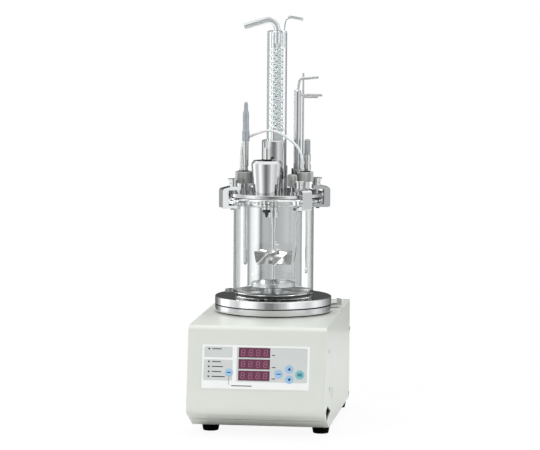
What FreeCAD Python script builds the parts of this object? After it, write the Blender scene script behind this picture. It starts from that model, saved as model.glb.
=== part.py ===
import FreeCAD, Part
import math
import os
import re
import Sketcher

# A bench bioreactor: a painted drive unit on four feet, a flat-bottomed glass jar clamped under a
# stainless lid, and the lid's cups, ports, probes, tubes and glass condenser.
# Millimetres, +Z up. The origin lies under the middle of the drive unit, at the feet.

V = FreeCAD.Vector
doc = FreeCAD.newDocument("BenchBioreactor")

# ---------------------------------------------------------------- driving sizes

SIZES = {
    # drive unit
    "case_width": 188,
    "case_front": 168.4,
    "case_back": 164.5,
    "case_height": 141,
    "case_wall": 1.5,
    "face_setback": 21.6,
    "face_foot": 25,
    "chin_run": 57,
    "case_edge_round": 7,
    "case_chin_round": 10,
    "return_depth": 82,
    "side_seam": 0.5,
    "tab_depth": 42,
    "drive_opening": 46,
    "foot_height": 9,
    "foot_radius": 12.2,
    "foot_taper": 1.7,
    "foot_spread": 75.8,
    "foot_offset": 5.9,
    "front_foot_y": 100,
    "rear_foot_y": 121,
    "screw_head": 3,
    "screw_proud": 1.2,
    "screw_shank": 1.5,
    "screw_length": 6,
    "screw_clearance": 0.25,
    # drive train inside the unit
    "axis_y": 21,
    "motor_radius": 30,
    "motor_height": 58,
    "motor_shaft": 4,
    "bridge_half": 62,
    "bridge_width": 60,
    "bridge_drop": 32,
    "bridge_wall": 3,
    "magnet_radius": 36,
    "magnet_thick": 13,
    "magnet_clearance": 1,
    "running_gap": 0.05,
    # operating panel; down-slope places are measured from the top edge of the front face
    "panel_width": 146,
    "panel_height": 59,
    "panel_down": 25.5,
    "panel_thick": 0.6,
    "window_width": 41.5,
    "window_height": 12.2,
    "window_x": -3,
    "window_down": 35.2,
    "window_pitch": 15.5,
    "window_clearance": 0.2,
    "key_proud": 1,
    "key_travel": 0.5,
    "key_clearance": 0.3,
    "key_rim": 0.8,
    "key_rim_thick": 1,
    "key_rear_gap": 0.1,
    "lamp_radius": 1.5,
    "lamp_x": -64.7,
    "board_depth": 11,
    "board_thick": 1.6,
    "post_radius": 2.5,
    # discs under the jar
    "disc_radius": 81.5,
    "disc_gap": 2,
    "disc_step": 2.5,
    "lower_disc_thick": 9,
    "disc_groove": 1,
    "plate_thick": 10.5,
    "plate_skin": 3,
    "pocket_radius": 40,
    # glass jar and lid
    "jar_radius": 56,
    "jar_wall": 3,
    "jar_base": 3,
    "jar_body": 129.9,
    "jar_heel_round": 5,
    "jar_inner_round": 6,
    "flange_reach": 12.6,
    "flange_thick": 10.3,
    "flange_round": 3,
    "gasket_thick": 0.6,
    "lid_overhang": 0.9,
    "lid_thick": 5.1,
    "lid_edge": 0.8,
    # clamps
    "clamp_clearance": 0.5,
    "clamp_back": 8.7,
    "clamp_width": 16,
    "clamp_drop": 5.4,
    "clamp_arm": 4.2,
    "clamp_mouth": 4,
    "clamp_shoulder_rise": 6.1,
    "clamp_rise": 3,
    "clamp_round": 4,
    "boss_radius": 5.5,
    "boss_rise": 12.6,
    "screw_inset": 8.6,
    "clamp_thread": 3,
    "knob_radius": 5.5,
    "knob_rim": 7.75,
    "knob_height": 6.4,
    "knob_rim_thick": 2,
    "pad_radius": 4.5,
    "pad_thick": 1.7,
    "rest_radius": 4,
    "rest_stem": 2,
    "rest_button": 2.6,
    "rest_drop": 2,
    "rest_inset": 6.6,
    # stirrer
    "shaft_radius": 2.5,
    "bearing_neck": 5.5,
    "bearing_flange": 7,
    "bearing_sleeve": 4,
    "bearing_flange_drop": 31.3,
    "bearing_flange_thick": 8.5,
    "bearing_drop": 42.3,
    "shaft_head_drop": 13.3,
    "rotor_lift": 1,
    "rotor_hub": 13,
    "rotor_hub_height": 8.7,
    "rotor_dish": 31,
    "rotor_dish_thick": 2.3,
    "rotor_rim": 2,
    "rotor_rim_height": 4,
    "impeller_lift": 41.5,
    "impeller_height": 18,
    "impeller_hub": 7,
    "impeller_tip": 26,
    "blade_thick": 1.6,
    "blade_pitch": 42,
    "blade_count": 6,
    # cups on the lid
    "bell_radius": 17.2,
    "bell_rise": 72.6,
    "bell_wall": 1.5,
    "bell_round": 2.5,
    "cup_x": -4.9,
    "cup_y": -18.8,
    "cup_base": 18.6,
    "cup_shoulder": 21.7,
    "cup_rise": 46.6,
    "cup_wall": 1.2,
    "cup_round": 3,
    "cup_boss": 9,
    "cup_boss_rise": 33.6,
    "knob_stem": 3,
    "cup_tube": 6.5,
    "cup_tube_drop": 16.3,
    "plug_drop": 4,
    "cup_knob_radius": 5.1,
    "cup_knob_rise": 18,
    "knob_washer": 6.5,
    "plug_radius": 5.3,
    # condenser
    "condenser_x": -1.1,
    "condenser_y": 56,
    "jacket_radius": 14,
    "jacket_wall": 1.6,
    "jacket_rise": 12.6,
    "jacket_length": 211,
    "jacket_round": 3,
    "sleeve_wall": 1.5,
    "sleeve_rise": 33.6,
    "coil_clearance": 2,
    "coil_tube": 2,
    "coil_pitch": 8.2,
    "coil_turns": 14,
    "coil_rise": 73,
    "vent_radius": 4.6,
    "inlet_radius": 2.8,
    "glass_tube_wall": 1.1,
    # ports
    "cap_radius": 11.9,
    "neck_radius": 6.5,
    "neck_wall": 0.6,
    "neck_head": 9.4,
    "neck_foot": 8.5,
    "cap_clearance": 0.3,
    "seal_radius": 7.7,
    "seal_proud": 1,
    "ph_port_x": -41.5,
    "ph_port_y": 13,
    "ph_cap_rise": 12.1,
    "ph_cap_height": 16.5,
    "feed_port_x": 44.8,
    "feed_port_y": 9,
    "feed_cap_rise": 16.2,
    "feed_cap_height": 13.4,
    "small_port_x": 29.5,
    "small_port_y": -9,
    "small_cap_radius": 6.7,
    "small_cap_rise": 10.2,
    "small_cap_height": 17,
    "small_neck": 3.5,
    "small_head": 4.8,
    "small_bore": 2.5,
    # probes and tubes
    "electrode_shift": 2.6,
    "electrode_rod": 3.2,
    "electrode_sleeve": 3.9,
    "electrode_grip": 4.3,
    "electrode_collar": 5.1,
    "electrode_lift": 39.5,
    "barb_shift_x": -3.6,
    "barb_shift_y": -1.5,
    "barb_radius": 2.5,
    "feed_barb_shift": -3.2,
    "barb_stem": 1.5,
    "barb_collar": 4,
    "barb_spigot": 6,
    "hose_radius": 1.9,
    "hose_bore": 1.05,
    "gas_tube_x": 30.4,
    "gas_tube_y": 39,
    "gas_tube_radius": 5.1,
    "gas_tube_length": 111,
    "gas_nut_rise": 18.6,
    "gas_nut_height": 13,
    "gas_nut_flats": 13.8,
    "dip_radius": 1.6,
    "dip_lift": 19.1,
    "sample_tube_x": 36.5,
    "sample_tube_y": 54,
    "sample_tube_radius": 1.4,
    "sample_tube_rise": 164.6,
    "nipple_radius": 1.9,
    "sample_arm_radius": 1.6,
    "sensor_x": 45.3,
    "boot_radius": 4.4,
    "sensor_y": 33,
    "sensor_body": 5.2,
    "sensor_rod": 2,
    "sensor_lift": 27.5,
    # rim latches
    "latch_angle": 35,
    "latch_width": 11,
    "latch_pin_reach": 5,
    "latch_pin": 1.2,
    "latch_plate": 2,
    # rear of the drive unit
    "inlet_x": -47,
    "inlet_rise": 30,
    "inlet_width": 22,
    "inlet_height": 16,
    "inlet_proud": 2.5,
    "rocker_x": -19,
    "rocker_half_width": 6,
    "rocker_half_height": 8.4,
    "rocker_tilt": 7,
}

LEVELS = {
    "half_width": "case_width / 2",
    "case_top": "foot_height + case_height",
    "bridge_level": "case_top - bridge_drop",
    "inlet_level": "foot_height + inlet_rise",
    "face_foot_level": "foot_height + face_foot",
    "face_height": "case_height - face_foot",
    "return_end": "return_depth - case_front",
    "lower_disc_top": "case_top + disc_gap + lower_disc_thick",
    "plate_top": "lower_disc_top + disc_groove + plate_thick",
    "pocket_top": "plate_top - plate_skin",
    "jar_floor": "plate_top + jar_base",
    "impeller_level": "jar_floor + impeller_lift",
    "electrode_tip": "jar_floor + electrode_lift",
    "dip_end": "jar_floor + dip_lift",
    "sensor_tip": "jar_floor + sensor_lift",
    "jar_bore": "jar_radius - jar_wall",
    "flange_radius": "jar_radius + flange_reach",
    "lid_radius": "flange_radius + lid_overhang",
    "clamp_inner": "lid_radius + clamp_clearance",
    "clamp_outer": "clamp_inner + clamp_back",
    "screw_circle": "flange_radius - screw_inset",
    "rest_circle": "flange_radius - rest_inset",
    "neck_bore": "neck_radius - neck_wall",
    "flange_low": "plate_top + jar_body",
    "clamp_low": "flange_low - clamp_drop",
    "flange_top": "flange_low + flange_thick",
    "lid_low": "flange_top + gasket_thick",
    "bearing_flange_level": "lid_low - bearing_flange_drop",
    "bearing_end": "lid_low - bearing_drop",
    "shaft_head": "lid_low - shaft_head_drop",
    "cup_tube_end": "lid_low - cup_tube_drop",
    "plug_end": "cup_tube_end - plug_drop",
    "lid_top": "lid_low + lid_thick",
    "clamp_shoulder": "lid_top + clamp_shoulder_rise",
    "boss_top": "lid_top + boss_rise",
    "bell_top": "lid_top + bell_rise",
    "cup_top": "lid_top + cup_rise",
    "cup_boss_top": "lid_top + cup_boss_rise",
    "cup_knob_top": "cup_top + cup_knob_rise",
    "jacket_low": "lid_top + jacket_rise",
    "jacket_top": "jacket_low + jacket_length",
    "sleeve_top": "lid_top + sleeve_rise",
    "coil_low": "jacket_low + coil_rise",
    "ph_cap_low": "lid_top + ph_cap_rise",
    "ph_cap_top": "ph_cap_low + ph_cap_height",
    "feed_cap_low": "lid_top + feed_cap_rise",
    "feed_cap_top": "feed_cap_low + feed_cap_height",
    "small_cap_low": "lid_top + small_cap_rise",
    "small_cap_top": "small_cap_low + small_cap_height",
    "gas_nut_low": "lid_top + gas_nut_rise",
    "gas_nut_top": "gas_nut_low + gas_nut_height",
    "gas_tube_top": "gas_nut_top + gas_tube_length",
    "sample_tube_top": "lid_top + sample_tube_rise",
    "clamp_arm_low": "lid_top + clamp_mouth",
    "knob_low": "boss_top + 0.6",
    "knob_top": "knob_low + knob_height",
    "pad_top": "lid_top + 0.1 + pad_thick",
    "rotor_low": "jar_floor + rotor_lift",
    "rotor_hub_top": "rotor_low + rotor_hub_height",
    "rotor_dish_top": "rotor_hub_top + rotor_dish_thick",
    "magnet_top": "pocket_top - magnet_clearance",
    "bridge_top": "bridge_level + bridge_wall",
    "floor_top": "foot_height + case_wall",
    "ceiling": "case_top - case_wall",
    "inner_x": "half_width - case_wall",
    "lap_end": "chin_run - case_front + 6",
    "face_lean": "face_setback / face_height",
    "chin_slope": "face_foot / chin_run",
    "front_wall": "case_wall / cos(atan(face_lean))",
    "chin_wall": "case_wall / cos(atan(chin_slope))",
    "bend_in": "(front_wall + face_lean * chin_wall) / (1 + face_lean * chin_slope)",
    "panel_turn": "90 - atan(face_lean) / 1deg",
    "panel_edge": "face_setback - case_front",
    "rear_inside": "case_back - case_wall",
    "board_top": "0 - case_wall - board_depth",
    "condenser_bore": "jacket_radius - jacket_wall",
    "coil_radius": "condenser_bore - coil_tube - coil_clearance",
}

sheet = doc.addObject("Spreadsheet::Sheet", "Sizes")
for row, (alias, value) in enumerate(SIZES.items(), start=1):
    sheet.set(f"A{row}", alias)
    sheet.set(f"B{row}", str(value))
    sheet.setAlias(f"B{row}", alias)
doc.recompute()


def formula(text):
    """A size formula with each of its words pointed at the sheet or at the levels."""

    def point(match):
        word = match.group(0)
        if word in LEVELS:
            return f"Levels.{word}"
        return f"Sizes.{word}" if word in SIZES else word

    return re.sub(r"[a-z][a-z_0-9]*", point, str(text))


levels = doc.addObject("App::VarSet", "Levels")
for level, text in LEVELS.items():
    levels.addProperty("App::PropertyFloat", level)
    levels.setExpression(level, formula(text))
reckoner = doc.addObject("App::VarSet", "Reckoner")
reckoner.addProperty("App::PropertyFloat", "amount")
doc.recompute()


def number(text):
    """What a size formula comes to now."""
    reckoner.setExpression("amount", formula(text))
    reckoner.recompute()
    return reckoner.amount


# ---------------------------------------------------------------- ways of making a piece

pieces = {}


def bind(thing, **values):
    for name, text in values.items():
        thing.setExpression(name, formula(text))


def place(thing, x=0, y=0, z=0, axis=None, turn=0):
    """Puts a thing at x, y, z, turned about an axis through that place."""
    if axis is not None:
        thing.Placement = FreeCAD.Placement(V(), FreeCAD.Rotation(V(*axis), 1))
        thing.setExpression("Placement.Rotation.Angle", formula(turn))
    for letter, text in (("x", x), ("y", y), ("z", z)):
        thing.setExpression(f"Placement.Base.{letter}", formula(text))
    return thing


def keep(name, thing):
    """Makes a thing one of the kept pieces, under its own name."""
    thing.Label = name
    pieces[name] = thing
    return thing


def origin_part(body, role):
    return next(part for part in body.Origin.OriginFeatures if part.Role == role)


def sketch_on(body, name, plane):
    sketch = body.newObject("Sketcher::SketchObject", name)
    sketch.AttachmentSupport = [(origin_part(body, plane), "")]
    sketch.MapMode = "FlatFace"
    return sketch


def pin_corner(sketch, line, way, text):
    """Holds the start of a line at a distance from the sketch's origin."""
    if str(text) == "0":
        sketch.addConstraint(
            Sketcher.Constraint("PointOnObject", line, 1, -2 if way == "DistanceX" else -1)
        )
        return
    index = sketch.addConstraint(Sketcher.Constraint(way, -1, 1, line, 1, number(text)))
    sketch.setExpression(f"Constraints[{index}]", formula(text))


def draw_outline(sketch, corners):
    """A closed outline of straight lines through corners given as pairs of formulas."""
    points = [V(number(a), number(b), 0) for a, b in corners]
    count = len(points)
    for i in range(count):
        sketch.addGeometry(Part.LineSegment(points[i], points[(i + 1) % count]))
    for i in range(count):
        sketch.addConstraint(Sketcher.Constraint("Coincident", i, 2, (i + 1) % count, 1))
    for i, (a, b) in enumerate(corners):
        pin_corner(sketch, i, "DistanceX", a)
        pin_corner(sketch, i, "DistanceY", b)


def round_edges(body, name, chosen, radius):
    """Rounds the edges of a body for which chosen(edge) is true."""
    doc.recompute()
    last = body.Tip
    names = [f"Edge{i}" for i, edge in enumerate(last.Shape.Edges, start=1) if chosen(edge)]
    if not names:
        raise ValueError(f"{name} finds no edge to round")
    rounded = body.newObject("PartDesign::Fillet", name)
    rounded.Base = (last, names)
    rounded.setExpression("Radius", formula(radius))
    body.Tip = rounded


def turned(name, corners, x=0, y="axis_y", rounds=()):
    """A piece turned about an upright axis from an outline of (radius, height) corners."""
    body = doc.addObject("PartDesign::Body", name)
    sketch = sketch_on(body, name + "_outline", "XZ_Plane")
    draw_outline(sketch, corners)
    turn = body.newObject("PartDesign::Revolution", name + "_turned")
    turn.Profile = sketch
    turn.ReferenceAxis = (sketch, ["V_Axis"])
    turn.Angle = 360
    body.Tip = turn
    for i, (radius, height, size) in enumerate(rounds):
        r, z = number(radius), number(height)

        def on_corner(edge, r=r, z=z):
            curve = edge.Curve
            return (
                isinstance(curve, Part.Circle)
                and abs(curve.Radius - r) < 1e-4
                and abs(curve.Center.z - z) < 1e-4
            )

        round_edges(body, f"{name}_round_{i}", on_corner, size)
    place(body, x, y)
    return body


def prism(name, plane, corners, length, rounds=()):
    """A plate of the outline's shape, as thick as length, half of it each side of the plane."""
    body = doc.addObject("PartDesign::Body", name)
    sketch = sketch_on(body, name + "_outline", plane)
    draw_outline(sketch, corners)
    pad = body.newObject("PartDesign::Pad", name + "_pad")
    pad.Profile = sketch
    pad.SideType = "Symmetric"
    bind(pad, Length=length)
    body.Tip = pad
    for i, (a, b, size) in enumerate(rounds):
        first, second = number(a), number(b)

        def on_corner(edge, first=first, second=second):
            ends = [vertex.Point for vertex in edge.Vertexes]
            flat = [(p.y, p.z) if plane == "YZ_Plane" else (p.x, p.z) for p in ends]
            return len(ends) == 2 and all(
                abs(p - first) < 1e-4 and abs(q - second) < 1e-4 for p, q in flat
            )

        round_edges(body, f"{name}_round_{i}", on_corner, size)
    return body


def box(name, low, high):
    """A block between two corners."""
    block = doc.addObject("Part::Box", name)
    sizes = [f"({b}) - ({a})" for a, b in zip(low, high)]
    bind(block, Length=sizes[0], Width=sizes[1], Height=sizes[2])
    return place(block, *low)


def rod(name, radius, low, high, x=0, y=0):
    """An upright rod between two heights."""
    cylinder = doc.addObject("Part::Cylinder", name)
    bind(cylinder, Radius=radius, Height=f"({high}) - ({low})")
    return place(cylinder, x, y, low)


def cross_rod(name, radius, length, x, y, z, along):
    """A rod that starts at x, y, z and runs along +X, -X, +Y or -Y."""
    cylinder = doc.addObject("Part::Cylinder", name)
    bind(cylinder, Radius=radius, Height=length)
    axis, turn = {
        "+X": ((0, 1, 0), 90),
        "-X": ((0, 1, 0), -90),
        "+Y": ((1, 0, 0), -90),
        "-Y": ((1, 0, 0), 90),
    }[along]
    return place(cylinder, x, y, z, axis, turn)


def group(name, *things):
    compound = doc.addObject("Part::Compound", name)
    compound.Links = list(things)
    return compound


def fused(name, *things):
    union = doc.addObject("Part::MultiFuse", name)
    union.Shapes = list(things)
    return union


def cut(name, base, *tools):
    rest = doc.addObject("Part::Cut", name)
    rest.Base = base
    rest.Tool = tools[0] if len(tools) == 1 else group(name + "_tools", *tools)
    return rest


def bent_path(points, share=0.45, limit=None):
    """Straight runs through the points, joined by tangent arcs, and the arcs' radii.

    Each arc is as large as its two runs allow, or as limit where that is smaller.
    """
    edges = []
    radii = []
    start = points[0]
    for before, here, after in zip(points, points[1:], points[2:]):
        back, on = before - here, after - here
        half_turn = (math.pi - back.getAngle(on)) / 2
        reach = share * min(back.Length, on.Length)
        radius = reach / math.tan(half_turn)
        if limit is not None and radius > limit:
            radius, reach = limit, limit * math.tan(half_turn)
        back.normalize()
        on.normalize()
        enter, leave = here + back * reach, here + on * reach
        inward = (back + on).normalize()
        middle = here + inward * (radius / math.cos(half_turn) - radius)
        edges += [
            Part.LineSegment(start, enter).toShape(),
            Part.Arc(enter, middle, leave).toShape(),
        ]
        radii.append(radius)
        start = leave
    edges.append(Part.LineSegment(start, points[-1]).toShape())
    return Part.Wire(edges), radii


def bent_tube(points, radius, bore=0.0, limit=None):
    """A round tube along a bent path; its volume is checked against its section and length."""
    path, radii = bent_path(points, limit=limit)
    way = points[1] - points[0]

    def swept(size):
        circle = Part.Wire([Part.Circle(points[0], way, size).toShape()])
        return path.makePipeShell([circle], True, False)

    tube = swept(radius)
    if abs(tube.Volume / (math.pi * radius**2 * path.Length) - 1) > 0.02:
        raise ValueError("a bent tube lost some of its length")
    if bore:
        tube = tube.cut(swept(bore))
    return tube, path.Length, radii


def shaped(name, shape):
    """A piece whose shape is worked out here from the sheet's sizes."""
    feature = doc.addObject("Part::Feature", name)
    feature.Shape = shape
    return feature


def on_panel(thing):
    """Moves a thing from the panel's own frame to the sloping front face.

    There +x runs to the right, +y up the slope from the face's top edge and +z outwards.
    """
    return place(thing, 0, "panel_edge", "case_top", (1, 0, 0), "panel_turn")


def about_axis(thing, turn):
    """Turns a thing drawn along +X about the jar's axis."""
    return place(thing, 0, "axis_y", 0, (0, 0, 1), turn)


# ---------------------------------------------------------------- painted case

KEYS = {
    "key_mode": (-36.9, -62.5, 4.9),
    "key_set": (30.6, -63.3, 5.5),
    "key_up": (44.9, -56.5, 5.3),
    "key_down": (45.1, -70.1, 5.3),
    "key_start": (59.1, -63.5, 5.9),
}
LAMPS = (-31.0, -48.3, -54.9, -61.7, -68.3)
WINDOWS = (0, 1, 2)
SIDES = ("left", "right")
SCREWS = ((-119, 115), (-110, 62), (156, 110), (153, 16))


def window_box(name, k, spare, low, high):
    middle = f"0 - window_down - {k} * window_pitch"
    return box(
        name,
        (f"window_x - window_width / 2 - {spare}", f"{middle} - window_height / 2 - {spare}", low),
        (f"window_x + window_width / 2 + {spare}", f"{middle} + window_height / 2 + {spare}", high),
    )


def face_holes(name, low, high):
    """Cutters for the windows, the keys and the lamps, in the panel's frame."""
    things = [window_box(f"{name}_window_{k}", k, "window_clearance", low, high) for k in WINDOWS]
    for key, (x, y, r) in KEYS.items():
        things.append(rod(f"{name}_{key}", f"{r} + key_clearance", low, high, x, y))
    for i, y in enumerate(LAMPS):
        radius = "lamp_radius + key_clearance"
        things.append(rod(f"{name}_lamp_{i}", radius, low, high, "lamp_x", y))
    return group(name, *things)


def side_rods(name, radius, length, start, spots):
    """Rods through both sides of the case, from start outside it to length inside."""
    rods = []
    for side in SIDES:
        sign, along = ("", "-X") if side == "right" else ("0 - ", "+X")
        for i, (y, z) in enumerate(spots):
            rods.append(cross_rod(f"{name}_{side}_{i}", radius, length, f"{sign}({start})", y, z, along))
    return rods


case_outer = prism(
    "cover_outside",
    "YZ_Plane",
    [
        ("0 - case_front", "face_foot_level"),
        ("face_setback - case_front", "case_top"),
        ("rear_inside", "case_top"),
        ("rear_inside", "foot_height"),
        ("chin_run - case_front", "foot_height"),
    ],
    "case_width",
    rounds=[
        ("face_setback - case_front", "case_top", "case_edge_round"),
        ("0 - case_front", "face_foot_level", "case_chin_round"),
    ],
)
case_inner = prism(
    "cover_inside",
    "YZ_Plane",
    [
        ("bend_in - case_front", "face_foot_level + chin_wall - bend_in * chin_slope"),
        ("face_setback - case_front + front_wall - case_wall * face_lean", "ceiling"),
        ("rear_inside + 5", "ceiling"),
        ("rear_inside + 5", "floor_top"),
        ("(chin_wall + face_foot - case_wall) / chin_slope - case_front", "floor_top"),
    ],
    "case_width - 2 * case_wall",
    rounds=[
        (
            "face_setback - case_front + front_wall - case_wall * face_lean",
            "ceiling",
            "case_edge_round - case_wall",
        ),
        (
            "bend_in - case_front",
            "face_foot_level + chin_wall - bend_in * chin_slope",
            "case_chin_round - case_wall",
        ),
    ],
)
notch = prism(
    "case_notch",
    "YZ_Plane",
    [(-151, 37), (-128, 41.5), (-89, 28.5), (-117, 25.5), (-141, 21.5)],
    "case_width + 4",
)
behind = box(
    "behind_returns",
    ("0 - case_width", "return_end", 0),
    ("case_width", "case_back + 5", "ceiling"),
)
under = box(
    "behind_lap",
    ("0 - case_width", "lap_end", 0),
    ("case_width", "return_end + 1", "floor_top + 0.2"),
)
drive_hole = rod("cover_drive_hole", "drive_opening", "case_top - 10", "case_top + 10", 0, "axis_y")
face_cutters = on_panel(face_holes("cover_face", -4, 3))
front_screw_spots = SCREWS[:2]
rear_screw_spots = SCREWS[2:]
return_holes = side_rods(
    "return_hole",
    "screw_shank + screw_clearance",
    "case_wall + 1.5",
    "half_width + 1",
    front_screw_spots,
)
keep(
    "front_cover",
    cut(
        "front_cover",
        case_outer,
        case_inner,
        behind,
        under,
        drive_hole,
        face_cutters,
        notch,
        *return_holes,
    ),
)

chassis_parts = [
    box(
        "chassis_floor",
        ("0 - half_width", "lap_end + side_seam", "foot_height"),
        ("half_width", "rear_inside", "floor_top"),
    )
]
for side in SIDES:
    wall = ("inner_x", "half_width") if side == "right" else ("0 - half_width", "0 - inner_x")
    tab = (
        ("inner_x - case_wall", "inner_x")
        if side == "right"
        else ("0 - inner_x", "case_wall - inner_x")
    )
    chassis_parts += [
        box(
            f"chassis_wall_{side}",
            (wall[0], "return_end + side_seam", "foot_height"),
            (wall[1], "rear_inside", "ceiling"),
        ),
        box(
            f"chassis_tab_{side}",
            (tab[0], "return_end - tab_depth", "foot_height + 41"),
            (tab[1], "return_end + 12", "case_top - 8"),
        ),
    ]
tab_holes = side_rods("tab_hole", "screw_shank + 0.05", 6, "half_width + 1", front_screw_spots)
wall_holes = side_rods(
    "wall_hole", "screw_shank + screw_clearance", 3, "half_width + 1", rear_screw_spots
)
vent_slots = []
for i in range(4):
    low = 45 + 4 * i
    vent_slots.append(
        box(f"vent_{i}", ("0 - case_width", -82, low), ("case_width", -66, f"{low} + 1.2"))
    )
FEET = {
    "front_left": ("foot_offset - foot_spread", "0 - front_foot_y"),
    "front_right": ("foot_offset + foot_spread", "0 - front_foot_y"),
    "rear_left": ("foot_offset - foot_spread", "rear_foot_y"),
    "rear_right": ("foot_offset + foot_spread", "rear_foot_y"),
}
foot_holes = [
    rod(f"foot_hole_{name}", "2.5 + 0.1", "foot_height - 1", "floor_top + 1", x, y)
    for name, (x, y) in FEET.items()
]
keep(
    "chassis",
    cut(
        "chassis",
        fused("chassis_sheet", *chassis_parts),
        *tab_holes,
        *wall_holes,
        *vent_slots,
        *foot_holes,
    ),
)
feet = [
    turned(
        f"foot_{name}",
        [
            (0, 0),
            ("foot_radius - foot_taper", 0),
            ("foot_radius", "foot_height"),
            (2.5, "foot_height"),
            (2.5, "floor_top + 3"),
            (0, "floor_top + 3"),
        ],
        x,
        y,
        rounds=[("foot_radius - foot_taper", 0, 1)],
    )
    for name, (x, y) in FEET.items()
]
keep("rubber_feet", group("rubber_feet", *feet))

inlet_low = ("inlet_x - inlet_width / 2", "inlet_level - inlet_height / 2")
inlet_high = ("inlet_x + inlet_width / 2", "inlet_level + inlet_height / 2")
rear_sheet = [
    box(
        "rear_sheet",
        ("0 - half_width", "rear_inside", "foot_height"),
        ("half_width", "case_back", "case_top + 1"),
    )
]
for side in SIDES:
    flange = (
        ("inner_x - case_wall", "inner_x")
        if side == "right"
        else ("0 - inner_x", "case_wall - inner_x")
    )
    rear_sheet.append(
        box(
            f"rear_flange_{side}",
            (flange[0], "rear_inside - 14", "floor_top + 0.5"),
            (flange[1], "rear_inside", "ceiling - 2"),
        )
    )
rear_slots = []
for i in range(8):
    low = 24 + 6 * i
    rear_slots.append(
        box(f"rear_slot_{i}", (low, "rear_inside - 1", 60), (f"{low} + 2.5", "case_back + 1", 110))
    )
rear_cuts = [
    box(
        "inlet_opening",
        (f"{inlet_low[0]} - 0.2", "rear_inside - 1", f"{inlet_low[1]} - 0.2"),
        (f"{inlet_high[0]} + 0.2", "case_back + 1", f"{inlet_high[1]} + 0.2"),
    ),
    box(
        "rocker_opening",
        (
            "rocker_x - rocker_half_width - 3",
            "rear_inside - 1",
            "inlet_level - rocker_half_height - 3",
        ),
        (
            "rocker_x + rocker_half_width + 3",
            "case_back + 1",
            "inlet_level + rocker_half_height + 3",
        ),
    ),
    *side_rods("flange_hole", "screw_shank + 0.05", 6, "half_width + 1", rear_screw_spots),
]
keep(
    "rear_panel",
    cut("rear_panel", fused("rear_sheet_metal", *rear_sheet), *rear_slots, *rear_cuts),
)

screws = []
for head, shank in zip(
    side_rods("screw_head", "screw_head", "screw_proud", "half_width + screw_proud", SCREWS),
    side_rods("screw_shank", "screw_shank", "screw_length", "half_width", SCREWS),
):
    screws.append(fused(f"{head.Name}_screw", head, shank))
keep("cover_screws", group("cover_screws", *screws))

# the mains inlet and the rocker beside it share one moulding
moulding = [
    box(
        "inlet_flange",
        (f"{inlet_low[0]} - 4", "case_back", f"{inlet_low[1]} - 4"),
        ("rocker_x + rocker_half_width + 5", "case_back + inlet_proud", f"{inlet_high[1]} + 4"),
    ),
    box(
        "inlet_body",
        (inlet_low[0], "case_back - 22", inlet_low[1]),
        (inlet_high[0], "case_back", inlet_high[1]),
    ),
    box(
        "rocker_frame",
        (
            "rocker_x - rocker_half_width - 2.8",
            "case_back - 14",
            "inlet_level - rocker_half_height - 2.8",
        ),
        (
            "rocker_x + rocker_half_width + 2.8",
            "case_back",
            "inlet_level + rocker_half_height + 2.8",
        ),
    ),
]
moulding_cuts = [
    box(
        "inlet_recess",
        (f"{inlet_low[0]} + 1.5", "case_back - 17", f"{inlet_low[1]} + 1.5"),
        (f"{inlet_high[0]} - 1.5", "case_back + 5", f"{inlet_high[1]} - 1.5"),
    ),
    box(
        "rocker_recess",
        (
            "rocker_x - rocker_half_width - 0.3",
            "case_back - 12",
            "inlet_level - rocker_half_height - 1",
        ),
        (
            "rocker_x + rocker_half_width + 0.3",
            "case_back + 5",
            "inlet_level + rocker_half_height + 1",
        ),
    ),
    cross_rod(
        "rocker_pivot_hole",
        1.25,
        "2 * rocker_half_width + 4",
        "rocker_x - rocker_half_width - 2",
        "case_back - 2.5",
        "inlet_level",
        "+X",
    ),
]
moulding_cut = cut("inlet_moulding", fused("inlet_blank", *moulding), *moulding_cuts)
prongs = [
    box(
        f"prong_{i}",
        (f"inlet_x + {x} - 1", "case_back - 18", f"inlet_level + {z} - 2.5"),
        (f"inlet_x + {x} + 1", "case_back - 3", f"inlet_level + {z} + 2.5"),
    )
    for i, (x, z) in enumerate(((-6, -1.5), (0, 2), (6, -1.5)))
]
keep("power_inlet", fused("power_inlet", moulding_cut, *prongs))
rocker = fused(
    "rocker_whole",
    prism(
        "rocker_key",
        "YZ_Plane",
        [
            (-3, "0 - rocker_half_height + 0.6"),
            (3.6, "0 - rocker_half_height"),
            (2.5, 0),
            (3.6, "rocker_half_height"),
            (-3, "rocker_half_height - 0.6"),
        ],
        "2 * rocker_half_width",
    ),
    cross_rod(
        "rocker_pivot", 1.2, "2 * rocker_half_width + 3", "0 - rocker_half_width - 1.5", 0, 0, "+X"
    ),
)
keep(
    "power_switch",
    place(rocker, "rocker_x", "case_back - 2.5", "inlet_level", (1, 0, 0), "rocker_tilt"),
)

# ---------------------------------------------------------------- drive train

legs = []
for side in SIDES:
    x = ("bridge_half - bridge_wall", "bridge_half")
    toe = ("bridge_half", "bridge_half + 14")
    if side == "left":
        x = ("0 - bridge_half", "bridge_wall - bridge_half")
        toe = ("0 - bridge_half - 14", "0 - bridge_half")
    for part, (across, low, high) in {
        "leg": (x, "floor_top", "bridge_top"),
        "toe": (toe, "floor_top", "floor_top + bridge_wall"),
    }.items():
        legs.append(
            box(
                f"bridge_{part}_{side}",
                (across[0], "axis_y - bridge_width / 2", low),
                (across[1], "axis_y + bridge_width / 2", high),
            )
        )
bridge_deck = box(
    "bridge_deck",
    ("0 - bridge_half", "axis_y - bridge_width / 2", "bridge_level"),
    ("bridge_half", "axis_y + bridge_width / 2", "bridge_top"),
)
bridge_hole = rod(
    "bridge_hole", "motor_shaft + 2", "bridge_level - 1", "bridge_top + 1", 0, "axis_y"
)
keep("motor_bracket", cut("motor_bracket", fused("bridge", bridge_deck, *legs), bridge_hole))
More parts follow.
